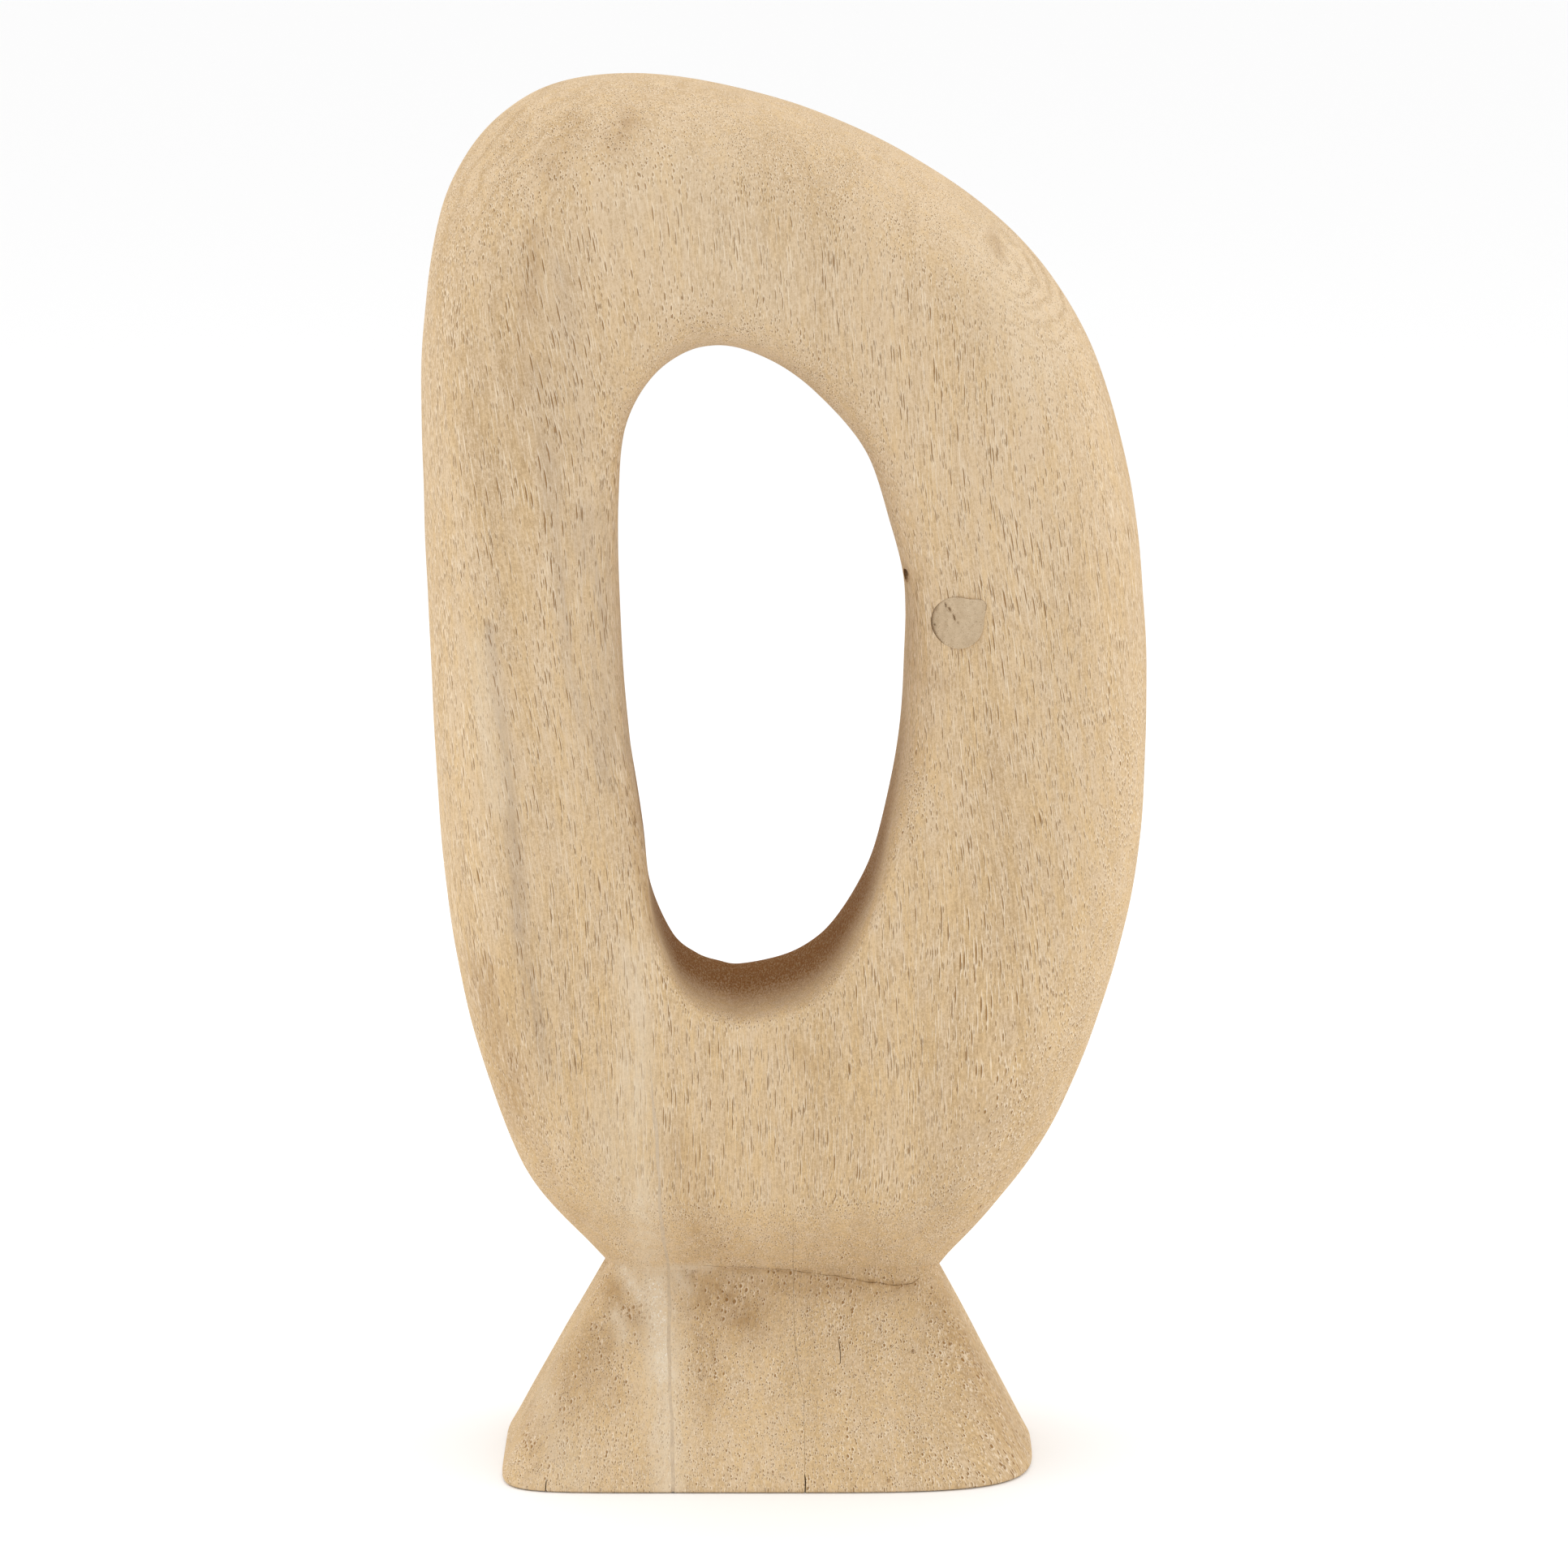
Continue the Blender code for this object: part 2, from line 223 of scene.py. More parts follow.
GREY_MARKS = (
    (-68, 322, -64, 279, 3.0, 0.60),
    (-64, 279, -60, 240, 1.9, 0.70),
    (-60, 240, -50, 206, 2.4, 0.60),
    (-54, 280, -47, 215, 5.0, 0.75),
    (-82, 250, -77, 201, 1.7, 1.00),
    (-77, 201, -75, 163, 2.0, 0.90),
    (-75, 163, -67, 120, 2.6, 0.60),
    (-62, 350, -58, 300, 4.0, 0.45),
    (44, 80, 60, 110, 6.0, 0.35),
)
PALE_MARKS = (
    (-43, 158, -41, 125, 3.4, 0.62),
    (-42, 125, -40, 62, 4.2, 0.72),
    (-50, 112, -46, 84, 4.5, 0.45),
    (-47, 57, -42, 50, 2.2, 1.10),
    (-33, 58, -29, 52, 2.2, 0.90),
    (-49, 45, -47, 40, 1.8, 0.90),
    (-37.5, 53, -35, 30, 4.2, 1.15),
    (-35, 30, -33, 0, 4.0, 0.85),
    (-44, 57, -22, 58.5, 1.5, 0.90),
    # These two rows are painted highlights on the foot's bevelled corners.
    (-70, 22, -61, 5, 4.5, 0.45),
    (66, 26, 72, 12, 3.5, 0.30),
    (-86, 245, -80, 200, 3.0, 0.50),
    (57, 355, 70, 325, 9.0, 0.35),
    (-30, 372, -8, 350, 14.0, 0.30),
)

# The painted shade in the hole. Facing: slope and offset of how squarely wood must face the middle.
# Upwards, backwards and at the rubbed back edge: where each change starts, and its reach. Then
# the share of the shade at the front, and the share of the shade taken off at the back.
DARK_FACING, DARK_UPWARD = (2.4, 0.9), (0.004, 0.110)
DARK_BACKWARD, DARK_RUBBED = (-0.042, 0.048), (0.027, 0.012)
DARK_IN_FRONT, RUBBED_OFF = 0.10, 0.20

# Growth-ring figures where the surface turns across the grain: x and z of the rings' middle,
# turn in degrees, half sizes along and across, rings out to that size, then x and z of the
# patch they show in, its half size and strength. Lengths in millimetres.
RING_FIGURES = (
    (60, 351, 46, 30, 12, 5.5, 68, 341, 20, 0.75),
    (27, 381, 60, 9, 7, 3.0, 28, 378, 9, 0.25),
    (-30, 401, 4, 22, 7, 3.5, -30, 396, 14, 0.22),
    (-10, 318, 50, 88, 74, 24.0, -74, 376, 30, 0.42),
    (90, 70, -52, 60, 34, 13.0, 62, 92, 24, 0.22),
)


# Sizes and colours


def length(name, description, default):
    return FloatProperty(
        name=name, description=description, default=default, subtype="DISTANCE", unit="LENGTH"
    )


def slant(name, description, degrees):
    default = math.radians(degrees)
    return FloatProperty(name=name, description=description, default=default, subtype="ANGLE")


def number(name, description, default):
    return FloatProperty(name=name, description=description, default=default)


def count(name, description, default):
    return IntProperty(name=name, description=description, default=default, min=3)


def colour(name, description, default):
    return FloatVectorProperty(
        name=name, description=description, default=default, size=3, min=0.0, max=1.0, subtype="COLOR"
    )


class LoopSizes(bpy.types.PropertyGroup):
    """Sizes of the loop"""

    left_limb: length("Left limb", "Wood between the hole and the left side", 0.0545)
    right_limb: length("Right limb", "Wood between the hole and the right side", 0.0685)
    top_rail: length("Top rail", "Wood over the hole", 0.0739)
    belly: length("Belly", "Wood between the neck and the hole", 0.0834)
    depth: length("Depth", "Front to back through a limb", 0.080)
    splay: length("Hole splay", "The hole's left wall stands this much further right in front", 0.0045)
    sharp_edge: number("Sharp edge", "Power of the hole's edge at its floor", 18.0)
    crisp_edge: number("Crisp edge", "Power of the hole's edge at the left", 8.5)
    soft_edge: number("Soft edge", "Power of the hole's edge where it is rubbed round", 4.4)
    back_edge: number("Back edge", "Power of the hole's edge at the back", 6.0)
    outer_edge: number("Outer edge", "Power of the loop's rounded outside", 2.35)
    relief: length("Relief", "How far the hand-worked surface rises and falls", 0.00022)
    steps: count("Steps round", "Sections round the loop", 450)
    section_steps: count("Steps across", "Points round one section", 156)


class FootSizes(bpy.types.PropertyGroup):
    """Sizes of the neck and the foot"""

    neck_height: length("Neck height", "From the base to the narrowest place", 0.055)
    neck_width: length("Neck width", "Side to side at the neck", 0.0962)
    neck_depth: length("Neck depth", "Front to back at the neck", 0.034)
    neck_shift: length("Neck shift", "Sideways from the middle of the loop", -0.0042)
    neck_sink: length("Neck sink", "How far the loop's underside runs down into the neck", 0.0045)
    taper_height: length("Taper height", "The belly thins towards the neck over this height", 0.030)
    taper_depth: length("Taper depth", "Depth that the taper brings the loop down to", 0.052)
    width: length("Width", "Side to side at the base", 0.155)
    depth: length("Depth", "Front to back at the base", 0.094)
    shift: length("Shift", "Sideways from the middle of the loop", -0.0052)
    edge_radius: length("Edge radius", "Rounding of the bottom edge", 0.0015)
    core_rise: length("Core rise", "How far the foot runs up inside the belly", 0.012)
    steps: count("Steps round", "Points round one level", 240)
    levels: count("Levels", "Levels from the edge up", 60)


class PlugSizes(bpy.types.PropertyGroup):
    """Sizes of the knot plug"""

    radius: length("Radius", "Of the plug's round", 0.0073)
    point: length("Point", "How far the one pointed corner stands out of the round", 0.0024)
    point_angle: slant("Point angle", "Where the corner points", 38)
    point_spread: slant("Point spread", "How wide the corner is", 18)
    recess: length("Recess", "How far the face lies under the wood", 0.00008)
    tilt: length("Tilt", "How much deeper the face lies at the top", 0.00040)
    gap: length("Gap", "Between the plug and its socket", 0.00004)
    crack_depth: length("Crack depth", "Of the crack across the face", 0.0011)
    crack_width: length("Crack width", "Half the width of the crack", 0.00030)
    ripple: length("Ripple", "How far the cut face rises and falls", 0.00008)
    rim_drop: length("Rim drop", "How far the face's rubbed edge falls away", 0.00005)
    steps: count("Steps round", "Points round the face", 168)
    rings: count("Rings", "Rings of points from the middle to the edge", 44)


class CheckSizes(bpy.types.PropertyGroup):
    """Sizes of the filled check"""

    top_below_hole: length("Top", "Start of the check, under the hole", 0.012)
    top_offset: length("Top offset", "Sideways from the neck's middle, at the top", -0.0340)
    neck_offset: length("Neck offset", "Sideways at the neck", -0.0298)
    base_offset: length("Base offset", "Sideways at the base", -0.0282)
    width: length("Width", "Of the filler where it is widest", 0.0013)
    depth: length("Depth", "Of the kerf", 0.0066)
    gap: length("Gap", "Between the filler and the wood", 0.00002)
    recess: length("Recess", "How far the filler lies under the wood", 0.00003)
    steps: count("Steps", "Sections down the check", 150)


class Finishes(bpy.types.PropertyGroup):
    """Colours of the wood, the plug and the filler"""

    light_wood: colour("Light wood", "Golden, between the pores", (0.680, 0.490, 0.275))
    beige_wood: colour("Beige wood", "Paler streaks of sapwood", (0.680, 0.520, 0.345))
    deep_wood: colour("Deep wood", "Denser grain", (0.430, 0.290, 0.150))
    pore: colour("Pore", "Open pores", (0.270, 0.130, 0.034))
    # The colour of the painted shade inside the hole.
    hole: colour("Hole", "Darkened end grain inside the hole", (0.232, 0.098, 0.022))
    # Also the colour of the painted highlight on the right of each pore.
    dust: colour("Dust", "Sanding dust and raised fibre", (0.860, 0.720, 0.540))
    # Also the colour of the painted shade in the crease and under the belly.
    brown: colour("Brown stain", "Old stains and end grain", (0.310, 0.170, 0.062))
    grey: colour("Grey streak", "Weathered streaks", (0.390, 0.300, 0.220))
    # Also the colour of the painted highlights on the foot's corners.
    pale: colour("Pale smear", "Filler rubbed into the grain", (0.740, 0.620, 0.460))
    crust: colour("Crust", "White filler left standing in the pores", (0.900, 0.850, 0.760))
    plug: colour("Plug", "End grain of the plug", (0.600, 0.465, 0.310))
    plug_dark: colour("Plug dark", "Rings of the plug", (0.400, 0.285, 0.170))
    filler: colour("Filler", "Hard filler", (0.690, 0.545, 0.370))
    floor: colour("Floor", "Studio floor", (0.975, 0.975, 0.975))


class StudioSizes(bpy.types.PropertyGroup):
    """Camera and light"""

    distance: length("Camera distance", "From the aim point", 1.6)
    aim_height: length("Aim height", "Of the point the camera looks at", 0.2)
    elevation: slant("Elevation", "Camera above the aim", 12)
    lens: number("Lens", "Focal length in millimetres on a 36 mm sensor", 128.26)
    shift_x: number("Shift across", "Of the frame", -0.00135)
    shift_y: number("Shift up", "Of the frame", -0.0058)
    world: number("Surround", "Strength of the white surround", 1.0)
    key: number("Side boxes", "Power of each side box, in watts", 4.2)
    top: number("Top box", "Power of the overhead box, in watts", 4.5)


# Numbers


def smooth_share(values):
    """0 below 0, 1 above 1, and a smooth rise between: 3 t^2 - 2 t^3."""
    share = np.clip(values, 0.0, 1.0)
    return share * share * (3 - 2 * share)


def stretched(values, low, high):
    """The values, moved and scaled so that they run from low to high."""
    share = (values - values.min()) / (values.max() - values.min())
    return low + share * (high - low)


def bell(distance, width):
    """A Gauss bell: 1 at no distance, about a third at one width."""
    return np.exp(-((distance / width) ** 2))


def wander(values, waves):
    """The sum of sine waves, each with a height, the length of one radian and a phase."""
    return sum(height * np.sin(values / radian + phase) for height, radian, phase in waves)


def closed_curve(points, places):
    """A closed Catmull-Rom curve. A place is a number of points along: 2.5 is half way from
    point 2 to point 3. Between two points it is the Hermite cubic whose slopes are half the
    step between their neighbours."""
    first = np.floor(places).astype(int)
    t = (places - first)[:, None]
    before, start, end, after = (points[(first + k) % len(points)] for k in (-1, 0, 1, 2))
    return (
        start * (2 * t**3 - 3 * t**2 + 1)
        + (end - before) / 2 * (t**3 - 2 * t**2 + t)
        + end * (3 * t**2 - 2 * t**3)
        + (after - start) / 2 * (t**3 - t**2)
    )


def between(positions):
    """The places half way between neighbours."""
    return (positions[1:] + positions[:-1]) / 2


def shared_out(positions, weights, steps):
    """Steps positions, spaced so that each holds the same share of the weight between them."""
    reached = np.concatenate([[0.0], np.cumsum(weights)])
    return np.interp(np.arange(steps) * reached[-1] / steps, reached, positions)


def superellipse(angle, power):
    """Polar form of |x|^p + |y|^p = 1: the ray at an angle, times
    (|cos|^p + |sin|^p)^(-1/p). Returns x and y."""
    across, through = np.cos(angle), np.sin(angle)
    reach = (np.abs(across) ** power + np.abs(through) ** power) ** (-1 / power)
    return reach * across, reach * through


def corner_angles(steps):
    """Angles round a section, closer together at its four corners: t + sin(4 t) / 12."""
    turn = np.arange(steps) * 2 * np.pi / steps
    return turn + np.sin(4 * turn) / 12


def hand_relief(points, height):
    """The slow rise and fall that hand tools leave, along the surface's own normal: a sum of
    sine waves with set directions and wavelengths from 16 to 80 mm, taller where longer."""
    rng = np.random.default_rng(11)
    waves = 14
    directions = rng.normal(size=(waves, 3))
    directions /= np.linalg.norm(directions, axis=1)[:, None]
    wavelengths = np.geomspace(0.016, 0.080, waves)
    phases = rng.uniform(0, 2 * np.pi, waves)
    heights = wavelengths / wavelengths.sum()
    turns = 2 * np.pi * (points @ (directions / wavelengths[:, None]).T) + phases
    return height * 2.2 * (np.sin(turns) @ heights)


def grid_normals(grid, closed_rows):
    """Unit normals of a grid: the cross product of its steps along a row and along a column."""
    along = np.roll(grid, -1, 1) - np.roll(grid, 1, 1)
    onward = np.roll(grid, -1, 0) - np.roll(grid, 1, 0) if closed_rows else np.gradient(grid, axis=0)
    normals = np.cross(along, onward)
    return normals / np.maximum(np.linalg.norm(normals, axis=2, keepdims=True), 1e-12)


# Surfaces


def belly_half_depth(height, loop, foot):
    """Half the loop's depth at a height: full above the belly, thinner towards the neck."""
    rise = smooth_share((height - foot.neck_height) / foot.taper_height)
    return (foot.taper_depth + (loop.depth - foot.taper_depth) * rise) / 2


def outline_places(loop):
    """Places round the outline, evenly spaced along its middle and closer beside the plug."""
    stations = np.array(OUTLINE_STATIONS, float).reshape(-1, 2, 2)
    dense = np.linspace(0, len(stations), 6000)
    middle = closed_curve(stations.mean(axis=1), dense) * MM
    lengths = np.linalg.norm(np.diff(middle, axis=0), axis=1)
    x, z = between(middle).T
    width, closer = CROWD_PLUG
    beside = bell(z - (PLUG_BOX[0].z + PLUG_BOX[1].z) / 2, width) * (x > 0)
    return shared_out(dense, lengths * (1 + closer * beside), loop.steps)


def section_angles(loop):
    """Angles round a section of the loop. They crowd as 1 / (1 + cos(4 t) / 3), which is most at
    the four corners, plus a bell for each crowd at the hole's front edge."""
    dense = np.linspace(0, 2 * np.pi, 4000)
    turn = between(dense)
    crowding = 1 / (1 + np.cos(4 * turn) / 3)
    for middle, width, closer in (CROWD_FRONT_LIP, CROWD_HOLE_CORNER):
        crowding = crowding + closer * bell(turn - middle, width)
    return shared_out(dense, crowding, loop.section_steps)


def loop_grid(loop, foot):
    """The loop: one row for each step round it, one column round its section. At each step the
    outer outline and the hole's outline give the ends of the section. The section is a
    superellipse stretched between them and over the depth, square towards the hole and round
    outside, and it is then raised by the hand relief."""
    places = outline_places(loop)
    stations = np.array(OUTLINE_STATIONS, float)
    outer = closed_curve(stations[:, :2], places)
    hole = closed_curve(stations[:, 2:], places)
    low, high = BODY_BOX
    outer_x = stretched(outer[:, 0], low.x, high.x)[:, None]
    outer_z = stretched(outer[:, 1], foot.neck_height - foot.neck_sink, high.z)[:, None]
    hole_x = stretched(hole[:, 0], low.x + loop.left_limb, high.x - loop.right_limb)[:, None]
    hole_z = stretched(hole[:, 1], foot.neck_height + loop.belly, high.z - loop.top_rail)[:, None]
    at_left = smooth_share((LEFT_WALL_X - hole_x) / LEFT_WALL_REACH)
    at_floor = smooth_share((FLOOR_Z - hole_z) / FLOOR_REACH)
    front_power = loop.soft_edge + (loop.crisp_edge - loop.soft_edge) * at_left * (1 - at_floor)
    front_power = front_power + (loop.sharp_edge - loop.soft_edge) * at_floor
    angle = section_angles(loop)
    inner_power = np.where(np.sin(angle) < 0, front_power, loop.back_edge)
    power = np.where(np.cos(angle) < 0, inner_power, loop.outer_edge)
    outward, backward = superellipse(angle, power)
    x = (outer_x + hole_x) / 2 + outward * (outer_x - hole_x) / 2
    z = (outer_z + hole_z) / 2 + outward * (outer_z - hole_z) / 2
    left_share = (hole_x.max() - hole_x) / (hole_x.max() - hole_x.min())
    x = x - backward * (1 - outward) / 2 * left_share * loop.splay / 2
    y = backward * belly_half_depth(z, loop, foot)
    grid = np.stack([x, y, z], axis=2)
    grid = grid + grid_normals(grid, True) * hand_relief(grid, loop.relief)[..., None]
    grid[..., 0] = stretched(grid[..., 0], low.x + INSIDE, high.x - INSIDE)
    grid[..., 2] = stretched(grid[..., 2], grid[..., 2].min(), high.z - INSIDE)
    return grid


def foot_grid(loop, foot):
    """The foot: one row for each level from the base up. A level is a superellipse in plan whose
    four corners have powers of their own. Width, depth and shift run straight from the neck to
    the base, and a quarter round draws in the bottom edge."""
    turn = np.linspace(0, np.pi / 2, EDGE_LEVELS, endpoint=False)
    edge = foot.edge_radius
    dense = np.linspace(edge, foot.neck_height + foot.core_rise, 1000)
    width, closer = CROWD_NECK
    crowding = 1 + closer * bell(between(dense) - foot.neck_height, width)
    rise = shared_out(dense, crowding, foot.levels)
    height = np.append(edge * (1 - np.cos(turn)), rise)[:, None]
    inset = np.append(edge * (1 - np.sin(turn)), np.zeros(foot.levels))[:, None]
    flare = 1 - height / foot.neck_height
    angle = corner_angles(foot.steps)
    at_right, at_back = np.cos(angle) >= 0, np.sin(angle) > 0
    corners = (FRONT_LEFT_POWERS, FRONT_RIGHT_POWERS, BACK_LEFT_POWERS, BACK_RIGHT_POWERS)
    powers = [np.interp(flare, (0, 1), pair) for pair in corners]
    in_front = np.where(at_right, powers[1], powers[0])
    power = np.where(at_back, np.where(at_right, powers[3], powers[2]), in_front)
    across, through = superellipse(angle, power)
    half_width = (foot.neck_width + (foot.width - foot.neck_width) * flare) / 2 - inset
    half_depth = (foot.neck_depth + (foot.depth - foot.neck_depth) * flare) / 2 - inset
    shift = foot.neck_shift + (foot.shift - foot.neck_shift) * flare
    level = np.broadcast_to(height, across.shape)
    grid = np.stack([across * half_width + shift, through * half_depth, level], axis=2)
    lift = hand_relief(grid, loop.relief) * smooth_share((height - edge) / 0.004)
    grid[..., :2] += (grid_normals(grid, False) * lift[..., None])[..., :2]
    grid[..., 1] *= (BODY_BOX[1].y - INSIDE) / np.abs(grid[..., 1]).max()
    return grid


def plug_radius(angle, plug, extra=0.0):
    """Radius of the plug's outline: a circle with a bell-shaped point at one angle."""
    off = (angle - plug.point_angle + np.pi) % (2 * np.pi) - np.pi
    return plug.radius + extra + plug.point * bell(off, plug.point_spread)


def plug_middle(plug):
    """Where the plug's round is centred, as x and z."""
    return PLUG_BOX[0].x + plug.radius, PLUG_BOX[0].z + plug.radius


def face_fit(grid, x, z):
    """The wood's front face near x, z, as the y of a fitted surface: six terms, up to x^2,
    x z and z^2, by least squares over the grid's front points near it."""
    points = grid.reshape(-1, 3)
    near = (np.hypot(points[:, 0] - x, points[:, 2] - z) < FIT_REACH) & (points[:, 1] < -0.02)

    def terms(a, b):
        return np.stack([np.ones_like(a), a, b, a * a, a * b, b * b], axis=-1)

    a, b = points[near, 0] - x, points[near, 2] - z
    answer = np.linalg.lstsq(terms(a, b), points[near, 1], rcond=None)[0]
    return lambda at_x, at_z: terms(at_x - x, at_z - z) @ answer


def plug_outline(plug, extra=0.0):
    """The plug's outline, as offsets in x and z from its middle."""
    angle = np.arange(plug.steps) * 2 * np.pi / plug.steps
    radius = plug_radius(angle, plug, extra)
    return radius * np.cos(angle), radius * np.sin(angle)


def crack_share(off_x, off_z, plug):
    """How deep the crack and the pinhole are, from 0 to 1: a bell of the distance from a bent
    line, broken into beads, and a bell of the distance from the pinhole."""
    line = CRACK_Z + CRACK_SLOPE * (off_x - CRACK_X) + wander(off_x, CRACK_WANDER)
    crack = bell((off_z - line) * CRACK_ACROSS, plug.crack_width)
    crack = crack * smooth_share((off_x - CRACK_START[0]) / CRACK_START[1])
    crack = crack * smooth_share((CRACK_END[0] - off_x) / CRACK_END[1])
    beads = 0.55 + wander(off_x, CRACK_BEADS)
    pinhole = bell(np.hypot(off_x - PINHOLE_X, off_z - PINHOLE_Z), PINHOLE_RADIUS)
    return np.maximum(crack * beads, pinhole)


def plug_grid(plug, wood_face):
    """The plug: rings from the middle of its face out to the edge, down the wall and in to the
    middle of the back. The face follows the wood, lies deeper at the top, ripples as a sine
    times a cosine, falls away at its rim, and is cut by the crack and the pinhole."""
    middle_x, middle_z = plug_middle(plug)
    outline_x, outline_z = plug_outline(plug, -plug.gap)
    share = np.append(np.linspace(0.012, 0.955, plug.rings), RIM_RINGS)[:, None]
    off_x, off_z = share * outline_x, share * outline_z
    x, z = middle_x + off_x, middle_z + off_z
    deeper = smooth_share((off_z + 0.4 * off_x) / (1.6 * plug.radius))
    sunk = plug.recess + plug.tilt * deeper
    sunk = sunk + plug.ripple * np.sin(off_x / RIPPLE_ACROSS) * np.cos(off_z / RIPPLE_UP)
    sunk = sunk + plug.rim_drop * smooth_share((share - 1 + RUBBED_RIM) / RUBBED_RIM)
    sunk = sunk + plug.crack_depth * crack_share(off_x, off_z, plug)
    face = np.stack([x, wood_face(x, z) + sunk, z], axis=2)
    back = PLUG_BOX[1].y
    down = np.linspace(0, 1, 7)[1:, None]
    wall_x, wall_z = x[-1] + 0 * down, z[-1] + 0 * down
    wall = np.stack([wall_x, face[-1, :, 1] * (1 - down) + back * down, wall_z], axis=2)
    inward = np.array(BACK_RINGS)[:, None]
    end_x, end_z = middle_x + inward * outline_x, middle_z + inward * outline_z
    end = np.stack([end_x, np.full_like(end_x, back), end_z], axis=2)
    return np.concatenate([face, wall, end])


def prism_grid(outline_x, outline_z, front, back):
    """An outline in x and z, carried straight back from front to back."""
    rows = [np.stack([outline_x, np.full_like(outline_x, y), outline_z], axis=1) for y in (front, back)]
    return np.array(rows)


def slit_grid(x, front, z, width, depth, floor_share=0.5, level=False):
    """A slit along a route: at each point of the route a four-cornered section, as wide as width
    in front and floor_share of it at the floor, depth behind the front. The width lies along x,
    or along z where the route is level."""
    half = np.broadcast_to(width / 2, x.shape)
    floor = half * floor_share
    corners = [(-half, front), (half, front), (floor, front + depth), (-floor, front + depth)]
    places = [(x, y, z + side) if level else (x + side, y, z) for side, y in corners]
    return np.stack([np.stack(place, axis=1) for place in places], axis=1)


def pebble_grid(middle, radii):
    """An egg: circles of latitude round a middle, scaled to three half sizes."""
    rows, columns = 10, 16
    rise = np.linspace(-1, 1, rows + 2)[1:-1, None] * np.pi / 2
    turn = np.arange(columns) * 2 * np.pi / columns
    ball = [np.cos(rise) * np.cos(turn), np.cos(rise) * np.sin(turn), np.sin(rise) + 0 * turn]
    return np.stack(ball, axis=2) * np.array(radii) + np.array(middle)


def check_route(settings, low, high):
    """The filled check down the front: x over heights from high to low, straight between the
    top, the neck and the base, with a slow wander."""
    check, foot = settings.check, settings.foot
    z = np.linspace(high, low, check.steps)
    top = foot.neck_height + settings.loop.belly - check.top_below_hole
    offsets = (check.base_offset, check.neck_offset, check.top_offset)
    x = foot.neck_shift + np.interp(z, (0, foot.neck_height, top), offsets)
    return x + wander(z, CHECK_WANDER), z


def check_width(z, check, high):
    """Width of the filler: full at the neck, uneven, and closing to nothing at the top."""
    uneven = 0.80 + wander(z, CHECK_SWELL)
    return check.width * uneven * np.clip((high - z) / 0.018, 0.12, 1.0)


# Meshes


def grid_faces(rows, columns, closed_rows):
    """Faces of a grid whose columns close on themselves. Its rows close too, or each end is
    filled with a fan to one more point: first the first row's, then the last row's."""
    index = np.arange(rows * columns).reshape(rows, columns)
    lower = index if closed_rows else index[:-1]
    upper = np.roll(index, -1, 0) if closed_rows else index[1:]
    quads = np.stack([lower, np.roll(lower, -1, 1), np.roll(upper, -1, 1), upper], axis=2)
    faces = quads.reshape(-1, 4).tolist()
    if not closed_rows:
        first, last = index[0], index[-1]
        start, end = np.full(columns, rows * columns), np.full(columns, rows * columns + 1)
        faces += np.stack([start, np.roll(first, -1), first], axis=1).tolist()
        faces += np.stack([end, last, np.roll(last, -1)], axis=1).tolist()
    return faces


def turned_out(mesh):
    """Points the faces of a closed mesh outwards."""
    bm = bmesh.new()
    bm.from_mesh(mesh)
    if bm.calc_volume(signed=True) < 0:
        bmesh.ops.reverse_faces(bm, faces=bm.faces)
        bm.to_mesh(mesh)
    bm.free()


def new_piece(name, grid, closed_rows=False):
    """A closed mesh object from a grid, at the origin."""
    rows, columns = grid.shape[:2]
    points = grid.reshape(-1, 3)
    if not closed_rows:
        points = np.concatenate([points, [grid[0].mean(axis=0), grid[-1].mean(axis=0)]])
    mesh = bpy.data.meshes.new(name)
    mesh.from_pydata(points.tolist(), [], grid_faces(rows, columns, closed_rows))
    mesh.validate()
    turned_out(mesh)
    piece = bpy.data.objects.new(name, mesh)
    bpy.context.scene.collection.objects.link(piece)
    return piece


def smooth(piece):
    piece.data.shade_smooth()
    piece.data.set_sharp_from_angle(angle=SHARP_ANGLE)


def apply_booleans(target, tools):
    """Joins or cuts the target with each tool in turn, keeps the result and drops the tools."""
    for operation, tool in tools:
        modifier = target.modifiers.new(tool.name, "BOOLEAN")
        modifier.operation = operation
        modifier.object = tool
        modifier.solver = "MANIFOLD"
    bpy.context.view_layer.update()
    graph = bpy.context.evaluated_depsgraph_get()
    made = bpy.data.meshes.new_from_object(target.evaluated_get(graph))
    target.modifiers.clear()
    old = target.data
    target.data = made
    made.name = target.name
    bpy.data.meshes.remove(old)
    for _, tool in tools:
        bpy.data.meshes.remove(tool.data)


def vertex_vectors(mesh, kind):
    """Each vertex's place or normal: kind is co or normal."""
    flat = np.empty(len(mesh.vertices) * 3, np.float32)
    mesh.vertices.foreach_get(kind, flat)
    return flat.reshape(-1, 3).astype(float)


def sounded(piece, x, z):
    """The y of the piece's front face at each x, z, or of its bottom edge below the base."""
    reach = []
    for at_x, at_z in zip(x, np.maximum(z, LOWEST_SOUNDED)):
        hit, place, _, _ = piece.ray_cast(Vector((at_x, -0.2, at_z)), Vector((0, 1, 0)))
        if not hit:
            raise RuntimeError("the check's route leaves the front of the wood")
        reach.append(place.y)
    return np.array(reach)


def marked(points, marks):
    """Strength of a set of marks at each point: full along each mark's line, fading as a bell
    across it, on the front only."""
    x, z = points[:, 0] / MM, points[:, 2] / MM
    total = np.zeros(len(points))
    for x0, z0, x1, z1, half_width, strength in marks:
        run = np.array((x1 - x0, z1 - z0), float)
        along = ((x - x0) * run[0] + (z - z0) * run[1]) / (run @ run)
        along = np.clip(along, 0, 1)
        off = np.hypot(x - x0 - along * run[0], z - z0 - along * run[1])
        total = np.maximum(total, strength * bell(off, half_width * 1.3))
    return total * smooth_share((-0.004 - points[:, 1]) / 0.010)


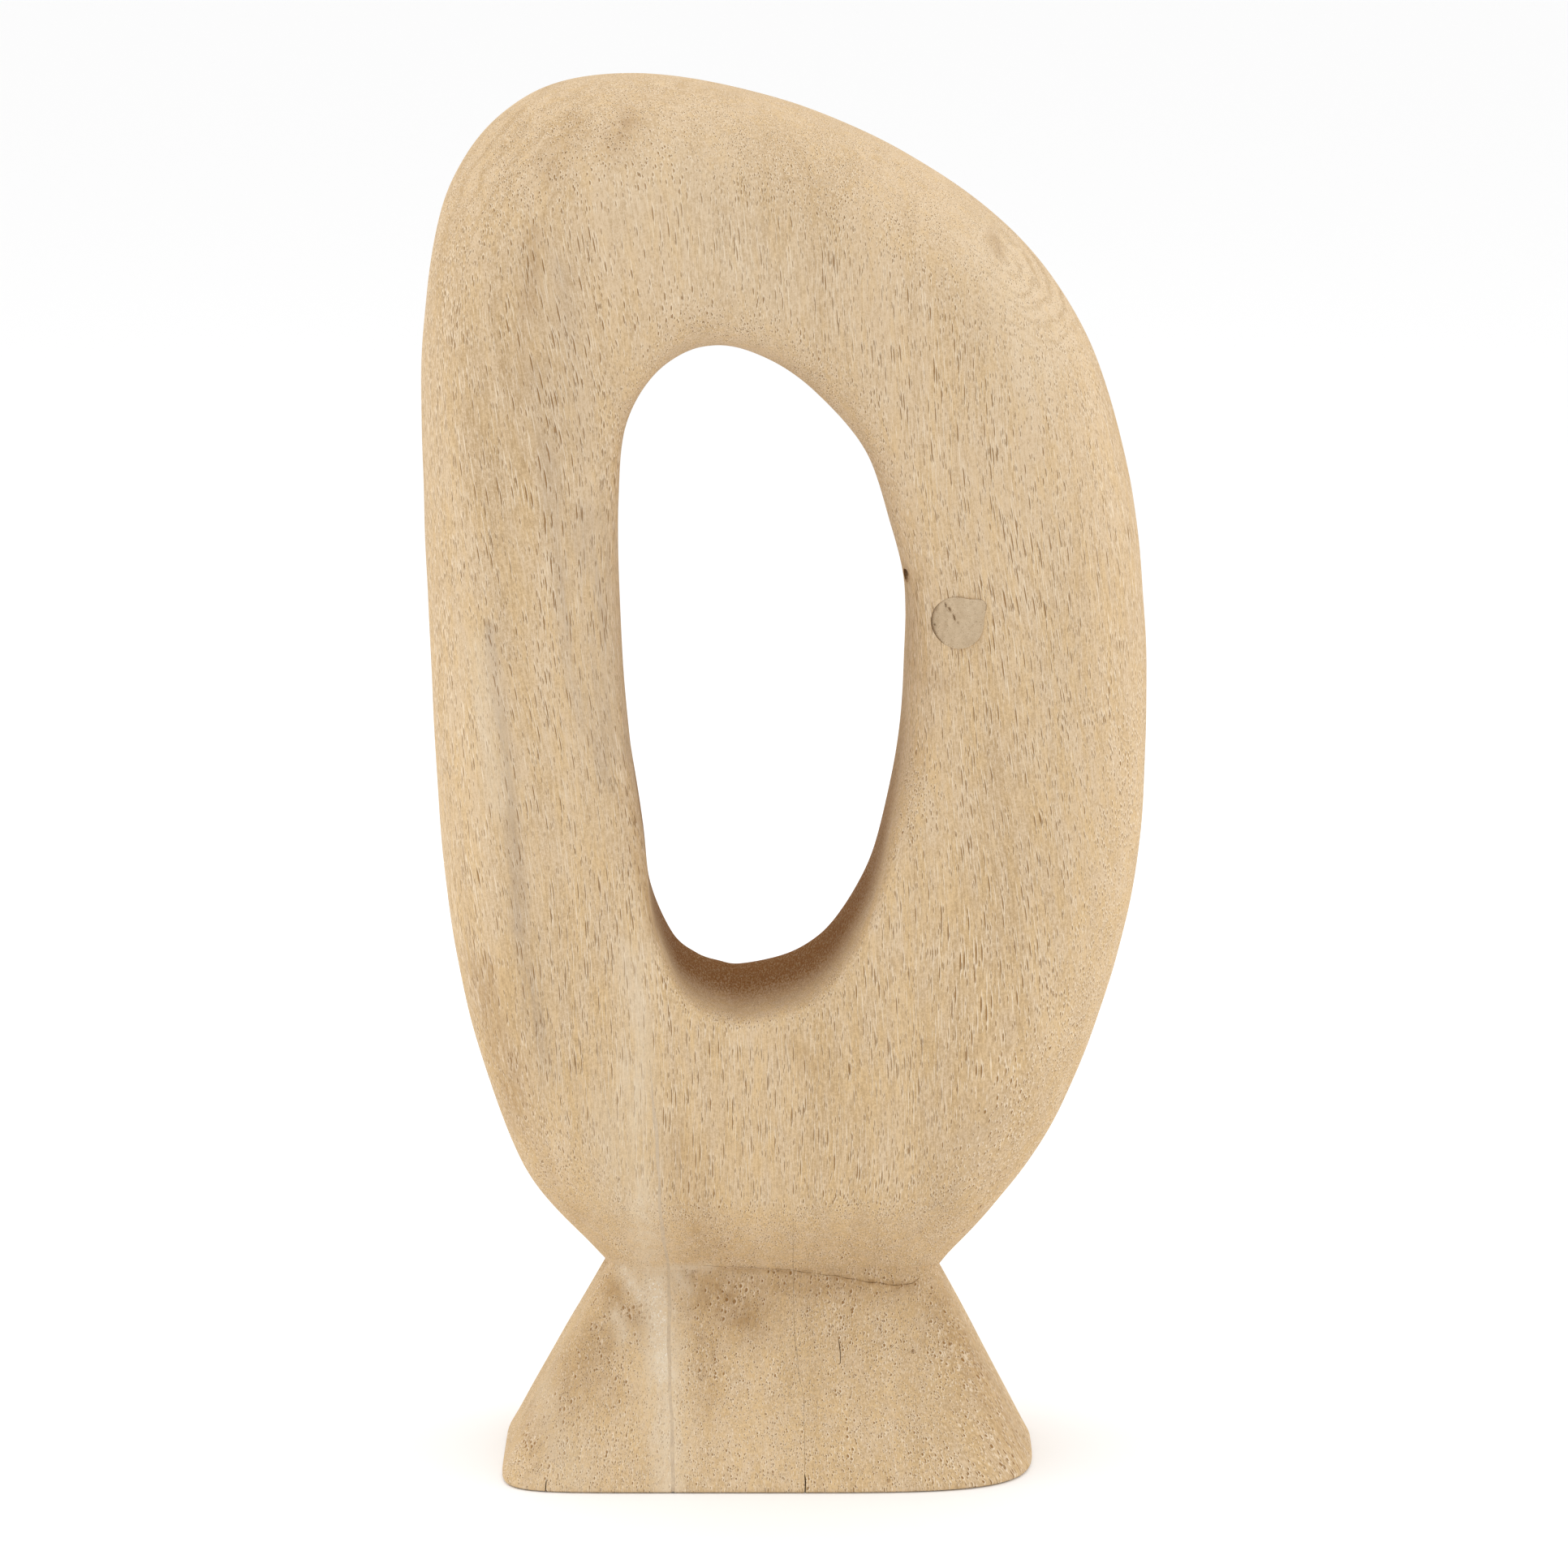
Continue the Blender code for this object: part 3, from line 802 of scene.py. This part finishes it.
def chip_dark(points):
    """Darker in the chip on the hole's edge: a bell of the distance from its middle, measured in
    its half sizes."""
    chip = np.array(HOLE_CHIP) * MM
    return 2.4 * bell(np.linalg.norm((points - chip[:3]) / chip[3:], axis=1), 1.2)


def neck_crease_shade(points, foot):
    """Painted shade in the crease round the sides and the back: a bell of the height over the neck."""
    off = points[:, 2] - foot.neck_height
    return 0.55 * bell(off, 0.0045) * smooth_share((points[:, 1] + 0.012) / 0.010)


def hole_painted_shade(points, normals, loop, foot):
    """How much painted shade lies inside the hole: most at its floor, towards the back, less at
    the rubbed back edge, and fading up the walls."""
    low, high = BODY_BOX
    hole_low, hole_high = foot.neck_height + loop.belly, high.z - loop.top_rail
    x, y, z = points.T
    off_x = x - (low.x + loop.left_limb + high.x - loop.right_limb) / 2
    off_z = z - HOLE_MIDDLE_Z
    inward = -(normals[:, 0] * off_x + normals[:, 2] * off_z)
    inward = inward / np.maximum(np.hypot(off_x, off_z), 1e-6)
    facing = smooth_share(inward * DARK_FACING[0] - DARK_FACING[1])
    fading_up = 1 - smooth_share((z - hole_low - DARK_UPWARD[0]) / DARK_UPWARD[1])
    behind = smooth_share((y - DARK_BACKWARD[0]) / DARK_BACKWARD[1])
    behind = DARK_IN_FRONT + (1 - DARK_IN_FRONT) * behind
    behind = behind - RUBBED_OFF * smooth_share((y - DARK_RUBBED[0]) / DARK_RUBBED[1])
    inside = (z > hole_low - 0.006) & (z < hole_high + 0.004)
    return facing * fading_up * behind * inside


def write_marks(piece, loop, foot):
    """Stores the marks and the painted shade as the colour attribute marks_and_painted_shade: brown,
    which also carries the painted shade in the crease, grey, pale, and the painted shade inside the hole.
    """
    mesh = piece.data
    points, normals = vertex_vectors(mesh, "co"), vertex_vectors(mesh, "normal")
    # The painted shade in the crease goes in with the brown.
    chip_dark_and_crease_shade = np.maximum(chip_dark(points), neck_crease_shade(points, foot))
    brown = np.maximum(marked(points, BROWN_MARKS), chip_dark_and_crease_shade)
    grey, pale = marked(points, GREY_MARKS), marked(points, PALE_MARKS)
    shares = np.stack([brown, grey, pale, hole_painted_shade(points, normals, loop, foot)], axis=1)
    attribute = mesh.attributes.new("marks_and_painted_shade", "FLOAT_COLOR", "POINT")
    attribute.data.foreach_set("color", shares.astype(np.float32).ravel())


# Finishes


class Bench:
    """Adds nodes to one material and joins them up."""

    def __init__(self, name):
        self.material = bpy.data.materials.new(name)
        self.material.use_nodes = True
        self.tree = self.material.node_tree
        self.shader = self.tree.nodes["Principled BSDF"]

    def put(self, socket, value):
        """Links a value to a socket or sets it there. A colour of three numbers is opaque."""
        if isinstance(value, bpy.types.NodeSocket):
            self.tree.links.new(value, socket)
        else:
            socket.default_value = (*value, 1.0) if socket.type == "RGBA" else value

    def node(self, kind, inputs=None, output=0, **settings):
        made = self.tree.nodes.new("ShaderNode" + kind)
        for name, value in settings.items():
            setattr(made, name, value)
        for name, value in (inputs or {}).items():
            self.put(made.inputs[name], value)
        return made.outputs[output]

    def math(self, operation, *values):
        return self.node("Math", dict(enumerate(values)), operation=operation)

    def add(self, *values):
        total = values[0]
        for value in values[1:]:
            total = self.math("ADD", total, value)
        return total

    def times(self, *values):
        total = values[0]
        for value in values[1:]:
            total = self.math("MULTIPLY", total, value)
        return total

    def scaled(self, vector, cell, shift=(0.0, 0.0, 0.0)):
        """The vector in cells of these sizes, moved by a shift so that two patterns differ."""
        scale = [1 / size for size in cell]
        return self.node("Mapping", {"Vector": vector, "Location": shift, "Scale": scale})

    def noise(self, vector, cell, detail=2.0, roughness=0.5, shift=(0.0, 0.0, 0.0)):
        """Noise whose cells have these sizes across, through and along."""
        vector = self.scaled(vector, cell, shift)
        inputs = {"Vector": vector, "Scale": 1.0, "Detail": detail, "Roughness": roughness}
        return self.node("TexNoise", inputs)

    def cells(self, vector):
        """Outputs of a pattern of scattered cells: Distance to the nearest, and its Position."""
        return self.node("TexVoronoi", {"Vector": vector, "Scale": 1.0, "Randomness": 1.0}).node.outputs

    def spread(self, value, low, high, to_low=0.0, to_high=1.0, soft=False):
        """The value, spread from low..high to to_low..to_high and held at those ends."""
        return self.node(
            "MapRange",
            {"Value": value, "From Min": low, "From Max": high, "To Min": to_low, "To Max": to_high},
            interpolation_type="SMOOTHSTEP" if soft else "LINEAR",
        )

    def mix(self, share, start, end, blend="MIX"):
        node = self.tree.nodes.new("ShaderNodeMix")
        node.data_type = "RGBA"
        node.blend_type = blend
        for index, value in ((0, share), (6, start), (7, end)):
            self.put(node.inputs[index], value)
        return node.outputs[2]

    def bump(self, height, strength, distance=0.001):
        return self.node("Bump", {"Height": height, "Distance": distance, "Strength": strength})

    def finish(self, base, roughness, normal, specular):
        for name, value in (("Base Color", base), ("Roughness", roughness), ("Normal", normal)):
            self.put(self.shader.inputs[name], value)
        self.put(self.shader.inputs["Specular IOR Level"], specular)
        return self.material


def millimetres(bench):
    """Object coordinates in millimetres."""
    place = bench.node("TexCoord", output="Object")
    return bench.node("Mapping", {"Vector": place, "Scale": (1000.0, 1000.0, 1000.0)})


def grain_space(bench, place):
    """The place in millimetres, leaned and bent so that its third axis runs along the fibres.
    The lean is small in the belly, grows up the loop and is greatest in the left limb."""
    x, y, z = (bench.node("SeparateXYZ", {"Vector": place}, output=axis) for axis in "XYZ")
    above = bench.math("SMOOTH_MAX", bench.math("SUBTRACT", z, 120.0), 0.0, 60.0)
    leftward = bench.spread(x, -15.0, -80.0, soft=True)
    rightward = bench.spread(x, 40.0, 90.0, soft=True)
    lean = bench.add(
        bench.times(z, 0.015),
        bench.times(above, 0.055),
        bench.times(leftward, bench.math("SUBTRACT", z, 230.0), 0.045),
        bench.times(rightward, bench.math("SUBTRACT", z, 230.0), 0.10),
    )
    bend_x = bench.noise(place, (55, 55, 130), 1.0)
    bend_y = bench.noise(place, (55, 55, 130), 1.0, shift=(7.3, 1.9, 4.1))
    across = bench.add(x, lean, bench.times(bench.math("SUBTRACT", bend_x, 0.5), 15.0))
    through = bench.add(y, bench.times(bench.math("SUBTRACT", bend_y, 0.5), 12.0))
    return bench.node("CombineXYZ", {"X": across, "Y": through, "Z": z})


def pore_layer(bench, grain, across, along, reach, shift):
    """Open pores: stretched cells, dark near each cell's middle, with a rim on the right that is
    raised fibre in the bump and a painted highlight in the colour. reach is how far out they go, in
    cells. Returns the pores and the rims."""
    scaled = bench.scaled(grain, (across, across, along), shift)
    cells = bench.cells(scaled)
    ratio = bench.math("DIVIDE", cells["Distance"], reach)
    away = bench.node("VectorMath", {0: scaled, 1: cells["Position"]}, operation="SUBTRACT")
    rightward = bench.node("SeparateXYZ", {"Vector": away}, output="X")
    right_share = bench.spread(rightward, -0.04, 0.08)
    pores = bench.spread(ratio, 1.0, 0.60, soft=True)
    # The rim on the right is raised fibre in the bump and a painted highlight in the colour.
    rims = bench.times(bench.spread(ratio, 1.9, 1.15, soft=True), right_share)
    return pores, bench.math("SUBTRACT", rims, pores)


def ring_figures(bench, place):
    """Growth rings cut across: waves of the distance from each figure's middle, stretched to an
    ellipse and shown in a round patch. From -0.5 to 0.5, and 0 outside the patches."""
    drift = bench.math("SUBTRACT", bench.noise(place, (9, 9, 9), 4.0, 0.65), 0.5)
    total = 0.0
    for x, z, turn, along, across, rings, patch_x, patch_z, patch, strength in RING_FIGURES:
        oval = bench.node(
            "Mapping",
            {
                "Vector": place,
                "Location": (x, -25.0, z),
                "Rotation": (0.0, math.radians(turn), 0.0),
                "Scale": (along, 4 * along, across),
            },
            vector_type="TEXTURE",
        )
        out = bench.node("VectorMath", {0: oval}, output="Value", operation="LENGTH")
        phase = bench.times(bench.add(out, bench.times(drift, 2.2 / rings)), 2 * math.pi * rings)
        wave = bench.spread(bench.math("SINE", phase), -0.4, 1.0, -0.35, 0.65)
        gap = bench.node(
            "VectorMath", {0: place, 1: (patch_x, -20.0, patch_z)}, output="Value", operation="DISTANCE"
        )
        shown = bench.spread(gap, 1.35 * patch, 0.45 * patch, 0.0, strength, soft=True)
        total = bench.add(bench.times(wave, shown), total)
    return total


def bare_hardwood(finishes):
    """Bare, sanded hardwood: broad tone, growth bands, fibres, pores, dust and the marks, with a
    painted highlight beside each pore and painted shade in the crease and inside the hole.
    """
    bench = Bench("bare_hardwood")
    place = millimetres(bench)
    grain = grain_space(bench, place)
    # This attribute carries the marks, with painted shade in the crease among the brown, and the painted
    # shade inside the hole in its alpha.
    marks = bench.node("Attribute", output="Color", attribute_name="marks_and_painted_shade")
    hole_shade = bench.node("Attribute", output="Alpha", attribute_name="marks_and_painted_shade")
    brown, grey, pale = (bench.node("SeparateColor", {"Color": marks}, output=c) for c in range(3))

    height_up = bench.node("SeparateXYZ", {"Vector": place}, output="Z")
    broad = bench.noise(grain, (34, 34, 120), 3.0, 0.55)
    hue = bench.noise(grain, (3.4, 3.4, 22), 3.0, 0.6, shift=(4.0, 1.0, 0.0))
    bands = bench.noise(grain, (4.5, 9, 240), 2.0, 0.6, shift=(3.1, 0.0, 0.0))
    fibres = bench.noise(grain, (0.42, 0.42, 4.6), 3.0, 0.7)
    speckle = bench.noise(place, (0.66, 0.66, 0.9), 3.0, 0.85)
    patch = bench.noise(grain, (9, 9, 30), 3.0, 0.6, shift=(0.0, 5.0, 2.0))
    figure = ring_figures(bench, place)

    reach = bench.spread(patch, 0.30, 0.68, 0.17, 0.27)
    long_pores, long_rims = pore_layer(bench, grain, 0.80, 14.0, reach, (0.0, 0.0, 0.0))
    short_pores, short_rims = pore_layer(bench, grain, 0.60, 5.0, reach, (5.3, 2.7, 9.1))
    on_foot = bench.add(bench.spread(height_up, 96.0, 62.0, soft=True), bench.times(brown, 0.5))
    pit_reach = bench.times(on_foot, bench.spread(patch, 0.35, 0.65, 0.10, 0.22))
    pits, pit_rims = pore_layer(bench, grain, 1.7, 3.4, bench.add(pit_reach, 0.001), (1.7, 8.2, 3.3))
    pore = bench.math("MAXIMUM", bench.math("MAXIMUM", long_pores, bench.times(short_pores, 0.8)), pits)
    rim = bench.math("MAXIMUM", bench.math("MAXIMUM", long_rims, bench.times(short_rims, 0.8)), pit_rims)

    tone = bench.add(
        bench.spread(broad, 0.30, 0.70, -0.12, 0.24),
        bench.spread(bands, 0.30, 0.70, -0.10, 0.14),
        bench.spread(fibres, 0.20, 0.80, -0.62, 0.72),
        bench.spread(speckle, 0.20, 0.80, -0.72, 0.82),
        bench.times(figure, 0.70),
        0.10,
    )
    golden = bench.add(bench.spread(hue, 0.36, 0.64), bench.spread(height_up, 60.0, 340.0, 0.15, -0.40))
    wood = bench.mix(golden, finishes.beige_wood, finishes.light_wood)
    wood = bench.mix(bench.spread(tone, 0.0, 1.0), wood, finishes.deep_wood)
    # Pale dust specks, and a painted highlight along the right of each pore.
    dust_and_highlight = bench.add(bench.spread(speckle, 0.60, 0.80, 0.0, 0.60), bench.times(rim, 0.80))
    wood = bench.mix(dust_and_highlight, wood, finishes.dust)

    torn = bench.noise(grain, (2.2, 2.2, 22), 4.0, 0.6, shift=(1.0, 8.0, 3.0))
    torn_wide = bench.spread(torn, 0.30, 0.70, 0.30, 1.35)
    wood = bench.mix(bench.times(grey, torn_wide, 0.50), wood, finishes.grey)
    # Brown stains, with the painted shade in the crease and under the belly in the same channel.
    wood = bench.mix(bench.times(brown, torn_wide, 0.45), wood, finishes.brown)
    # Pale filler smears, with the painted highlights on the foot's corners in the same channel.
    wood = bench.mix(bench.times(pale, torn_wide, 0.70), wood, finishes.pale)
    crusty = bench.times(bench.spread(pale, 0.78, 1.10), bench.spread(speckle, 0.54, 0.64), 0.80)
    wood = bench.mix(crusty, wood, finishes.crust)
    # Painted shade inside the hole, in the hole colour, broken up by a rasped texture.
    rasped = bench.noise(place, (0.42, 2.4, 0.42), 3.0, 0.8, shift=(2.0, 6.0, 1.0))
    rough = bench.spread(rasped, 0.38, 0.64, 1.30, 0.58)
    wood = bench.mix(bench.times(hole_shade, rough), wood, finishes.hole)

    open_pore = bench.times(pore, bench.math("SUBTRACT", 1.0, bench.times(pale, 0.7)))
    wood = bench.mix(bench.times(open_pore, 0.80), wood, finishes.pore)

    height = bench.add(
        bench.times(open_pore, -0.16),
        bench.times(rim, 0.05),
        bench.times(fibres, 0.10),
        bench.times(speckle, 0.16),
    )
    normal = bench.bump(height, 0.9)
    roughness = bench.spread(speckle, 0.3, 0.7, 0.70, 0.90)
    return bench.finish(wood, roughness, normal, 0.04)


def knot_wood(finishes, plug):
    """End grain of the plug: grey-brown, faint off-centre rings and fine pores."""
    bench = Bench("knot_wood")
    place = millimetres(bench)
    middle_x, middle_z = plug_middle(plug)
    off = bench.node(
        "Mapping", {"Vector": place, "Location": (-middle_x / MM + 5.0, 0.0, -middle_z / MM - 4.0)}
    )
    drift = bench.noise(place, (3, 3, 3), 2.0)
    out = bench.node("VectorMath", {0: off}, output="Value", operation="LENGTH")
    rings = bench.math("SINE", bench.add(bench.times(out, 3.1), bench.times(drift, 5.0)))
    cloud = bench.noise(place, (1.6, 1.6, 1.6), 3.0, 0.6)
    grit = bench.noise(place, (0.34, 0.34, 0.34), 3.0, 0.8)
    nearest = bench.cells(bench.scaled(place, (0.62, 3.0, 0.62)))["Distance"]
    pores = bench.spread(nearest, 0.20, 0.10, soft=True)
    tone = bench.add(
        bench.spread(rings, -1.0, 1.0, 0.0, 0.16),
        bench.spread(cloud, 0.3, 0.7, -0.05, 0.42),
        bench.spread(grit, 0.3, 0.7, -0.25, 0.50),
    )
    wood = bench.mix(tone, finishes.plug, finishes.plug_dark)
    wood = bench.mix(bench.times(pores, 0.45), wood, finishes.pore)
    wood = bench.mix(bench.spread(grit, 0.58, 0.70, 0.0, 0.60), wood, finishes.dust)
    height = bench.add(bench.times(grit, 0.12), bench.times(cloud, 0.15), bench.times(pores, -0.15))
    roughness = bench.spread(grit, 0.3, 0.7, 0.70, 0.88)
    return bench.finish(wood, roughness, bench.bump(height, 0.8), 0.25)


def pale_filler(finishes):
    """Hard filler: chalky, with a sandy grit and darker drag marks."""
    bench = Bench("pale_filler")
    place = millimetres(bench)
    grit = bench.noise(place, (0.4, 0.4, 0.5), 3.0, 0.7)
    drag = bench.noise(place, (1.0, 1.0, 9.0), 3.0, 0.6)
    tone = bench.add(bench.spread(grit, 0.3, 0.7, 0.0, 0.35), bench.spread(drag, 0.3, 0.7, 0.0, 0.45))
    filler = bench.mix(tone, finishes.filler, finishes.grey)
    height = bench.add(bench.times(grit, 0.12), bench.times(drag, 0.10))
    roughness = bench.spread(grit, 0.3, 0.7, 0.78, 0.92)
    return bench.finish(filler, roughness, bench.bump(height, 0.8), 0.2)


def studio_floor(finishes):
    """Matt paper with a very faint tooth."""
    bench = Bench("studio_floor")
    place = millimetres(bench)
    tooth = bench.noise(place, (1.5, 1.5, 1.5), 2.0)
    shade = bench.mix(
        bench.times(tooth, 0.03), finishes.floor, [0.96 * share for share in finishes.floor]
    )
    return bench.finish(shade, 0.9, bench.bump(tooth, 0.1, 0.0001), 0.1)


# Operators


def plug_socket(plug):
    """The plug's outline, carried back from in front of the wood to just behind the plug."""
    middle_x, middle_z = plug_middle(plug)
    x, z = plug_outline(plug)
    return prism_grid(middle_x + x, middle_z + z, SOCKET_FRONT, PLUG_BOX[1].y + SOCKET_SLACK)


def kerf(block, settings):
    """The slot that the filler lies in: the filler's own slit, wider by the gap on each side."""
    check, top = settings.check, FILLER_BOX[1].z
    x, z = check_route(settings, -0.002, top)
    width = check_width(z, check, top) + 2 * check.gap
    front = sounded(block, x, z) - KERF_OVERSHOOT
    return slit_grid(x, front, z, width, check.depth + KERF_OVERSHOOT)


def open_check(block, points, width, depth):
    """A drying check along straight runs between points, closed up over its first steps."""
    steps, closing = 40, 8
    across, heights = (np.array(line, float) * MM for line in zip(*points))
    z = np.linspace(heights[0], heights[-1], steps)
    x = np.interp(z, heights[::-1], across[::-1]) + wander(z, OPEN_CHECK_WANDER)
    share = np.clip(np.minimum(np.arange(steps), closing) / closing, 0.15, 1.0)
    front = sounded(block, x, z) - CUT_OVERSHOOT
    return slit_grid(x, front, z, width * MM * share, CUT_OVERSHOOT + depth * MM, 0.3)


def stop_cut(block):
    """The stop cut across the crease: a shallow groove whose width is torn, as a sine of a sine,
    and grows to the right."""
    x, z = (np.array(line, float) * MM for line in zip(*STOP_CUT))
    across = np.linspace(x[0], x[-1], 240)
    heights = np.interp(across, x, z) + wander(across, STOP_CUT_WANDER)
    torn = 0.5 + 0.5 * np.sin(across / 0.00071 + 2.0 * np.sin(across / 0.0023))
    grown = 0.35 + 0.65 * smooth_share((across - 0.012) / 0.008)
    width = (STOP_CUT_LEAST + STOP_CUT_TORN * torn * grown) * MM
    front = sounded(block, across, heights) - CUT_OVERSHOOT
    deep = CUT_OVERSHOOT + STOP_CUT_DEPTH * MM
    return slit_grid(across, front, heights, width, deep, 0.3, level=True)


def dent(block, x, z, across, along):
    """An egg sunk half way into the front of the wood."""
    x, z, across, along = (size * MM for size in (x, z, across, along))
    return pebble_grid((x, sounded(block, [x], [z])[0], z), (across, across, along))


def cut_tools(block, settings):
    """The tools that cut the block: the plug's socket, the kerf, the open checks, the stop cut,
    the dents and the chip."""
    chip = np.array(HOLE_CHIP) * MM
    grids = {"plug_socket": plug_socket(settings.plug), "check_kerf": kerf(block, settings)}
    grids.update({name: open_check(block, *cut) for name, cut in OPEN_CHECKS.items()})
    grids["stop_cut"] = stop_cut(block)
    grids.update({name: dent(block, *sizes) for name, sizes in DENTS.items()})
    grids["hole_chip"] = pebble_grid(chip[:3], chip[3:])
    return [("DIFFERENCE", new_piece(name, grid)) for name, grid in grids.items()]


def uncut_block(name, settings):
    """The loop and the foot joined, with nothing cut into them."""
    loop, foot = settings.loop, settings.foot
    block = new_piece(name, loop_grid(loop, foot), True)
    apply_booleans(block, [("UNION", new_piece("foot_form", foot_grid(loop, foot)))])
    return block


class CARVING_OT_block(bpy.types.Operator):
    """Carve the loop and its foot from one block and cut the socket, the kerf and the checks"""

    bl_idname = "carving.block"
    bl_label = "Carved Block"

    def execute(self, context):
        settings = context.scene.carved_loop
        block = uncut_block("carved_block", settings)
        apply_booleans(block, cut_tools(block, settings))
        smooth(block)
        write_marks(block, settings.loop, settings.foot)
        block.data.materials.clear()
        block.data.materials.append(bare_hardwood(settings.finishes))
        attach(block, "root")
        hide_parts("carved_body")
        return {"FINISHED"}


class CARVING_OT_knot_plug(bpy.types.Operator):
    """Make the plug that stops the knot in the right limb"""

    bl_idname = "carving.knot_plug"
    bl_label = "Stopped Knot"

    def execute(self, context):
        settings = context.scene.carved_loop
        middle_x, middle_z = plug_middle(settings.plug)
        wood_face = face_fit(loop_grid(settings.loop, settings.foot), middle_x, middle_z)
        plug = new_piece("stopped_knot", plug_grid(settings.plug, wood_face))
        smooth(plug)
        plug.data.materials.append(knot_wood(settings.finishes, settings.plug))
        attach(plug, "root")
        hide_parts("knot_plug")
        return {"FINISHED"}


class CARVING_OT_check_filler(bpy.types.Operator):
    """Fill the drying check down the belly and the foot"""

    bl_idname = "carving.check_filler"
    bl_label = "Filled Check"

    def execute(self, context):
        settings = context.scene.carved_loop
        check = settings.check
        uncut = uncut_block("uncut_form", settings)
        low, high = FILLER_BOX[0].z, FILLER_BOX[1].z
        x, z = check_route(settings, low, high - 0.0003)
        front = sounded(uncut, x, z) + check.recess
        bpy.data.meshes.remove(uncut.data)
        width = check_width(z, check, high)
        filler = new_piece("filled_check", slit_grid(x, front, z, width, check.depth - 0.0004))
        smooth(filler)
        filler.data.materials.append(pale_filler(settings.finishes))
        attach(filler, "root")
        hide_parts("check_filler")
        return {"FINISHED"}


def soft_box(name, place, aim, size, power):
    """A square area light at a place, facing the aim."""
    data = bpy.data.lights.new(name, "AREA")
    data.shape = "SQUARE"
    data.size = size
    data.energy = power
    lamp = bpy.data.objects.new(name, data)
    lamp.location = place
    lamp.rotation_euler = (Vector(aim) - Vector(place)).to_track_quat("-Z", "Y").to_euler()
    bpy.context.scene.collection.objects.link(lamp)


class CARVING_OT_studio(bpy.types.Operator):
    """Set the floor, the soft light and the camera"""

    bl_idname = "carving.studio"
    bl_label = "Studio"

    def execute(self, context):
        scene = context.scene
        settings = scene.carved_loop
        studio = settings.studio
        half = STUDIO_SIDE / 2
        mesh = bpy.data.meshes.new("studio_floor")
        level = CAD_BOX[0].z - 0.0002
        corners = [(-half, -half, level), (half, -half, level), (half, half, level), (-half, half, level)]
        mesh.from_pydata(corners, [], [(0, 1, 2, 3)])
        floor = bpy.data.objects.new("studio_floor", mesh)
        scene.collection.objects.link(floor)
        mesh.materials.append(studio_floor(settings.finishes))

        world = bpy.data.worlds.new("studio_surround")
        world.use_nodes = True
        world.node_tree.nodes["Background"].inputs["Color"].default_value = (1.0, 1.0, 1.0, 1.0)
        world.node_tree.nodes["Background"].inputs["Strength"].default_value = studio.world
        scene.world = world
        aim = (0.0, 0.0, studio.aim_height)
        soft_box("left_box", (-1.40, 0.05, 0.75), aim, 0.9, studio.key)
        soft_box("right_box", (1.40, 0.05, 0.70), aim, 0.9, studio.key)
        soft_box("top_box", (0.0, 0.0, 1.7), aim, 1.0, studio.top)

        data = bpy.data.cameras.new("studio_camera")
        data.lens = studio.lens
        data.sensor_width = 36.0
        data.shift_x = studio.shift_x
        data.shift_y = studio.shift_y
        camera = bpy.data.objects.new("studio_camera", data)
        back = studio.distance * math.cos(studio.elevation)
        camera.location = (0.0, -back, aim[2] + studio.distance * math.sin(studio.elevation))
        camera.rotation_euler = (math.pi / 2 - studio.elevation, 0.0, 0.0)
        scene.collection.objects.link(camera)
        scene.camera = camera
        scene.view_settings.view_transform = "Standard"
        return {"FINISHED"}


class CARVING_PT_panel(bpy.types.Panel):
    """Lists the pieces and the studio"""

    bl_label = "Carved Loop"
    bl_idname = "CARVING_PT_panel"
    bl_space_type = "VIEW_3D"
    bl_region_type = "UI"
    bl_category = "Carved Loop"

    def draw(self, context):
        for operator in OPERATORS:
            self.layout.operator(operator.bl_idname)


class CarvedLoop(bpy.types.PropertyGroup):
    """All sizes and colours"""

    loop: PointerProperty(type=LoopSizes)
    foot: PointerProperty(type=FootSizes)
    plug: PointerProperty(type=PlugSizes)
    check: PointerProperty(type=CheckSizes)
    finishes: PointerProperty(type=Finishes)
    studio: PointerProperty(type=StudioSizes)


SETTINGS = (LoopSizes, FootSizes, PlugSizes, CheckSizes, Finishes, StudioSizes, CarvedLoop)
OPERATORS = (CARVING_OT_block, CARVING_OT_knot_plug, CARVING_OT_check_filler, CARVING_OT_studio)


def register():
    for item in (*SETTINGS, *OPERATORS, CARVING_PT_panel):
        bpy.utils.register_class(item)
    bpy.types.Scene.carved_loop = PointerProperty(type=CarvedLoop)


def unregister():
    del bpy.types.Scene.carved_loop
    for item in reversed((*SETTINGS, *OPERATORS, CARVING_PT_panel)):
        bpy.utils.unregister_class(item)


def main():
    register()
    bpy.ops.carving.block()
    bpy.ops.carving.knot_plug()
    bpy.ops.carving.check_filler()
    bpy.ops.carving.studio()


if __name__ == "__main__":
    main()
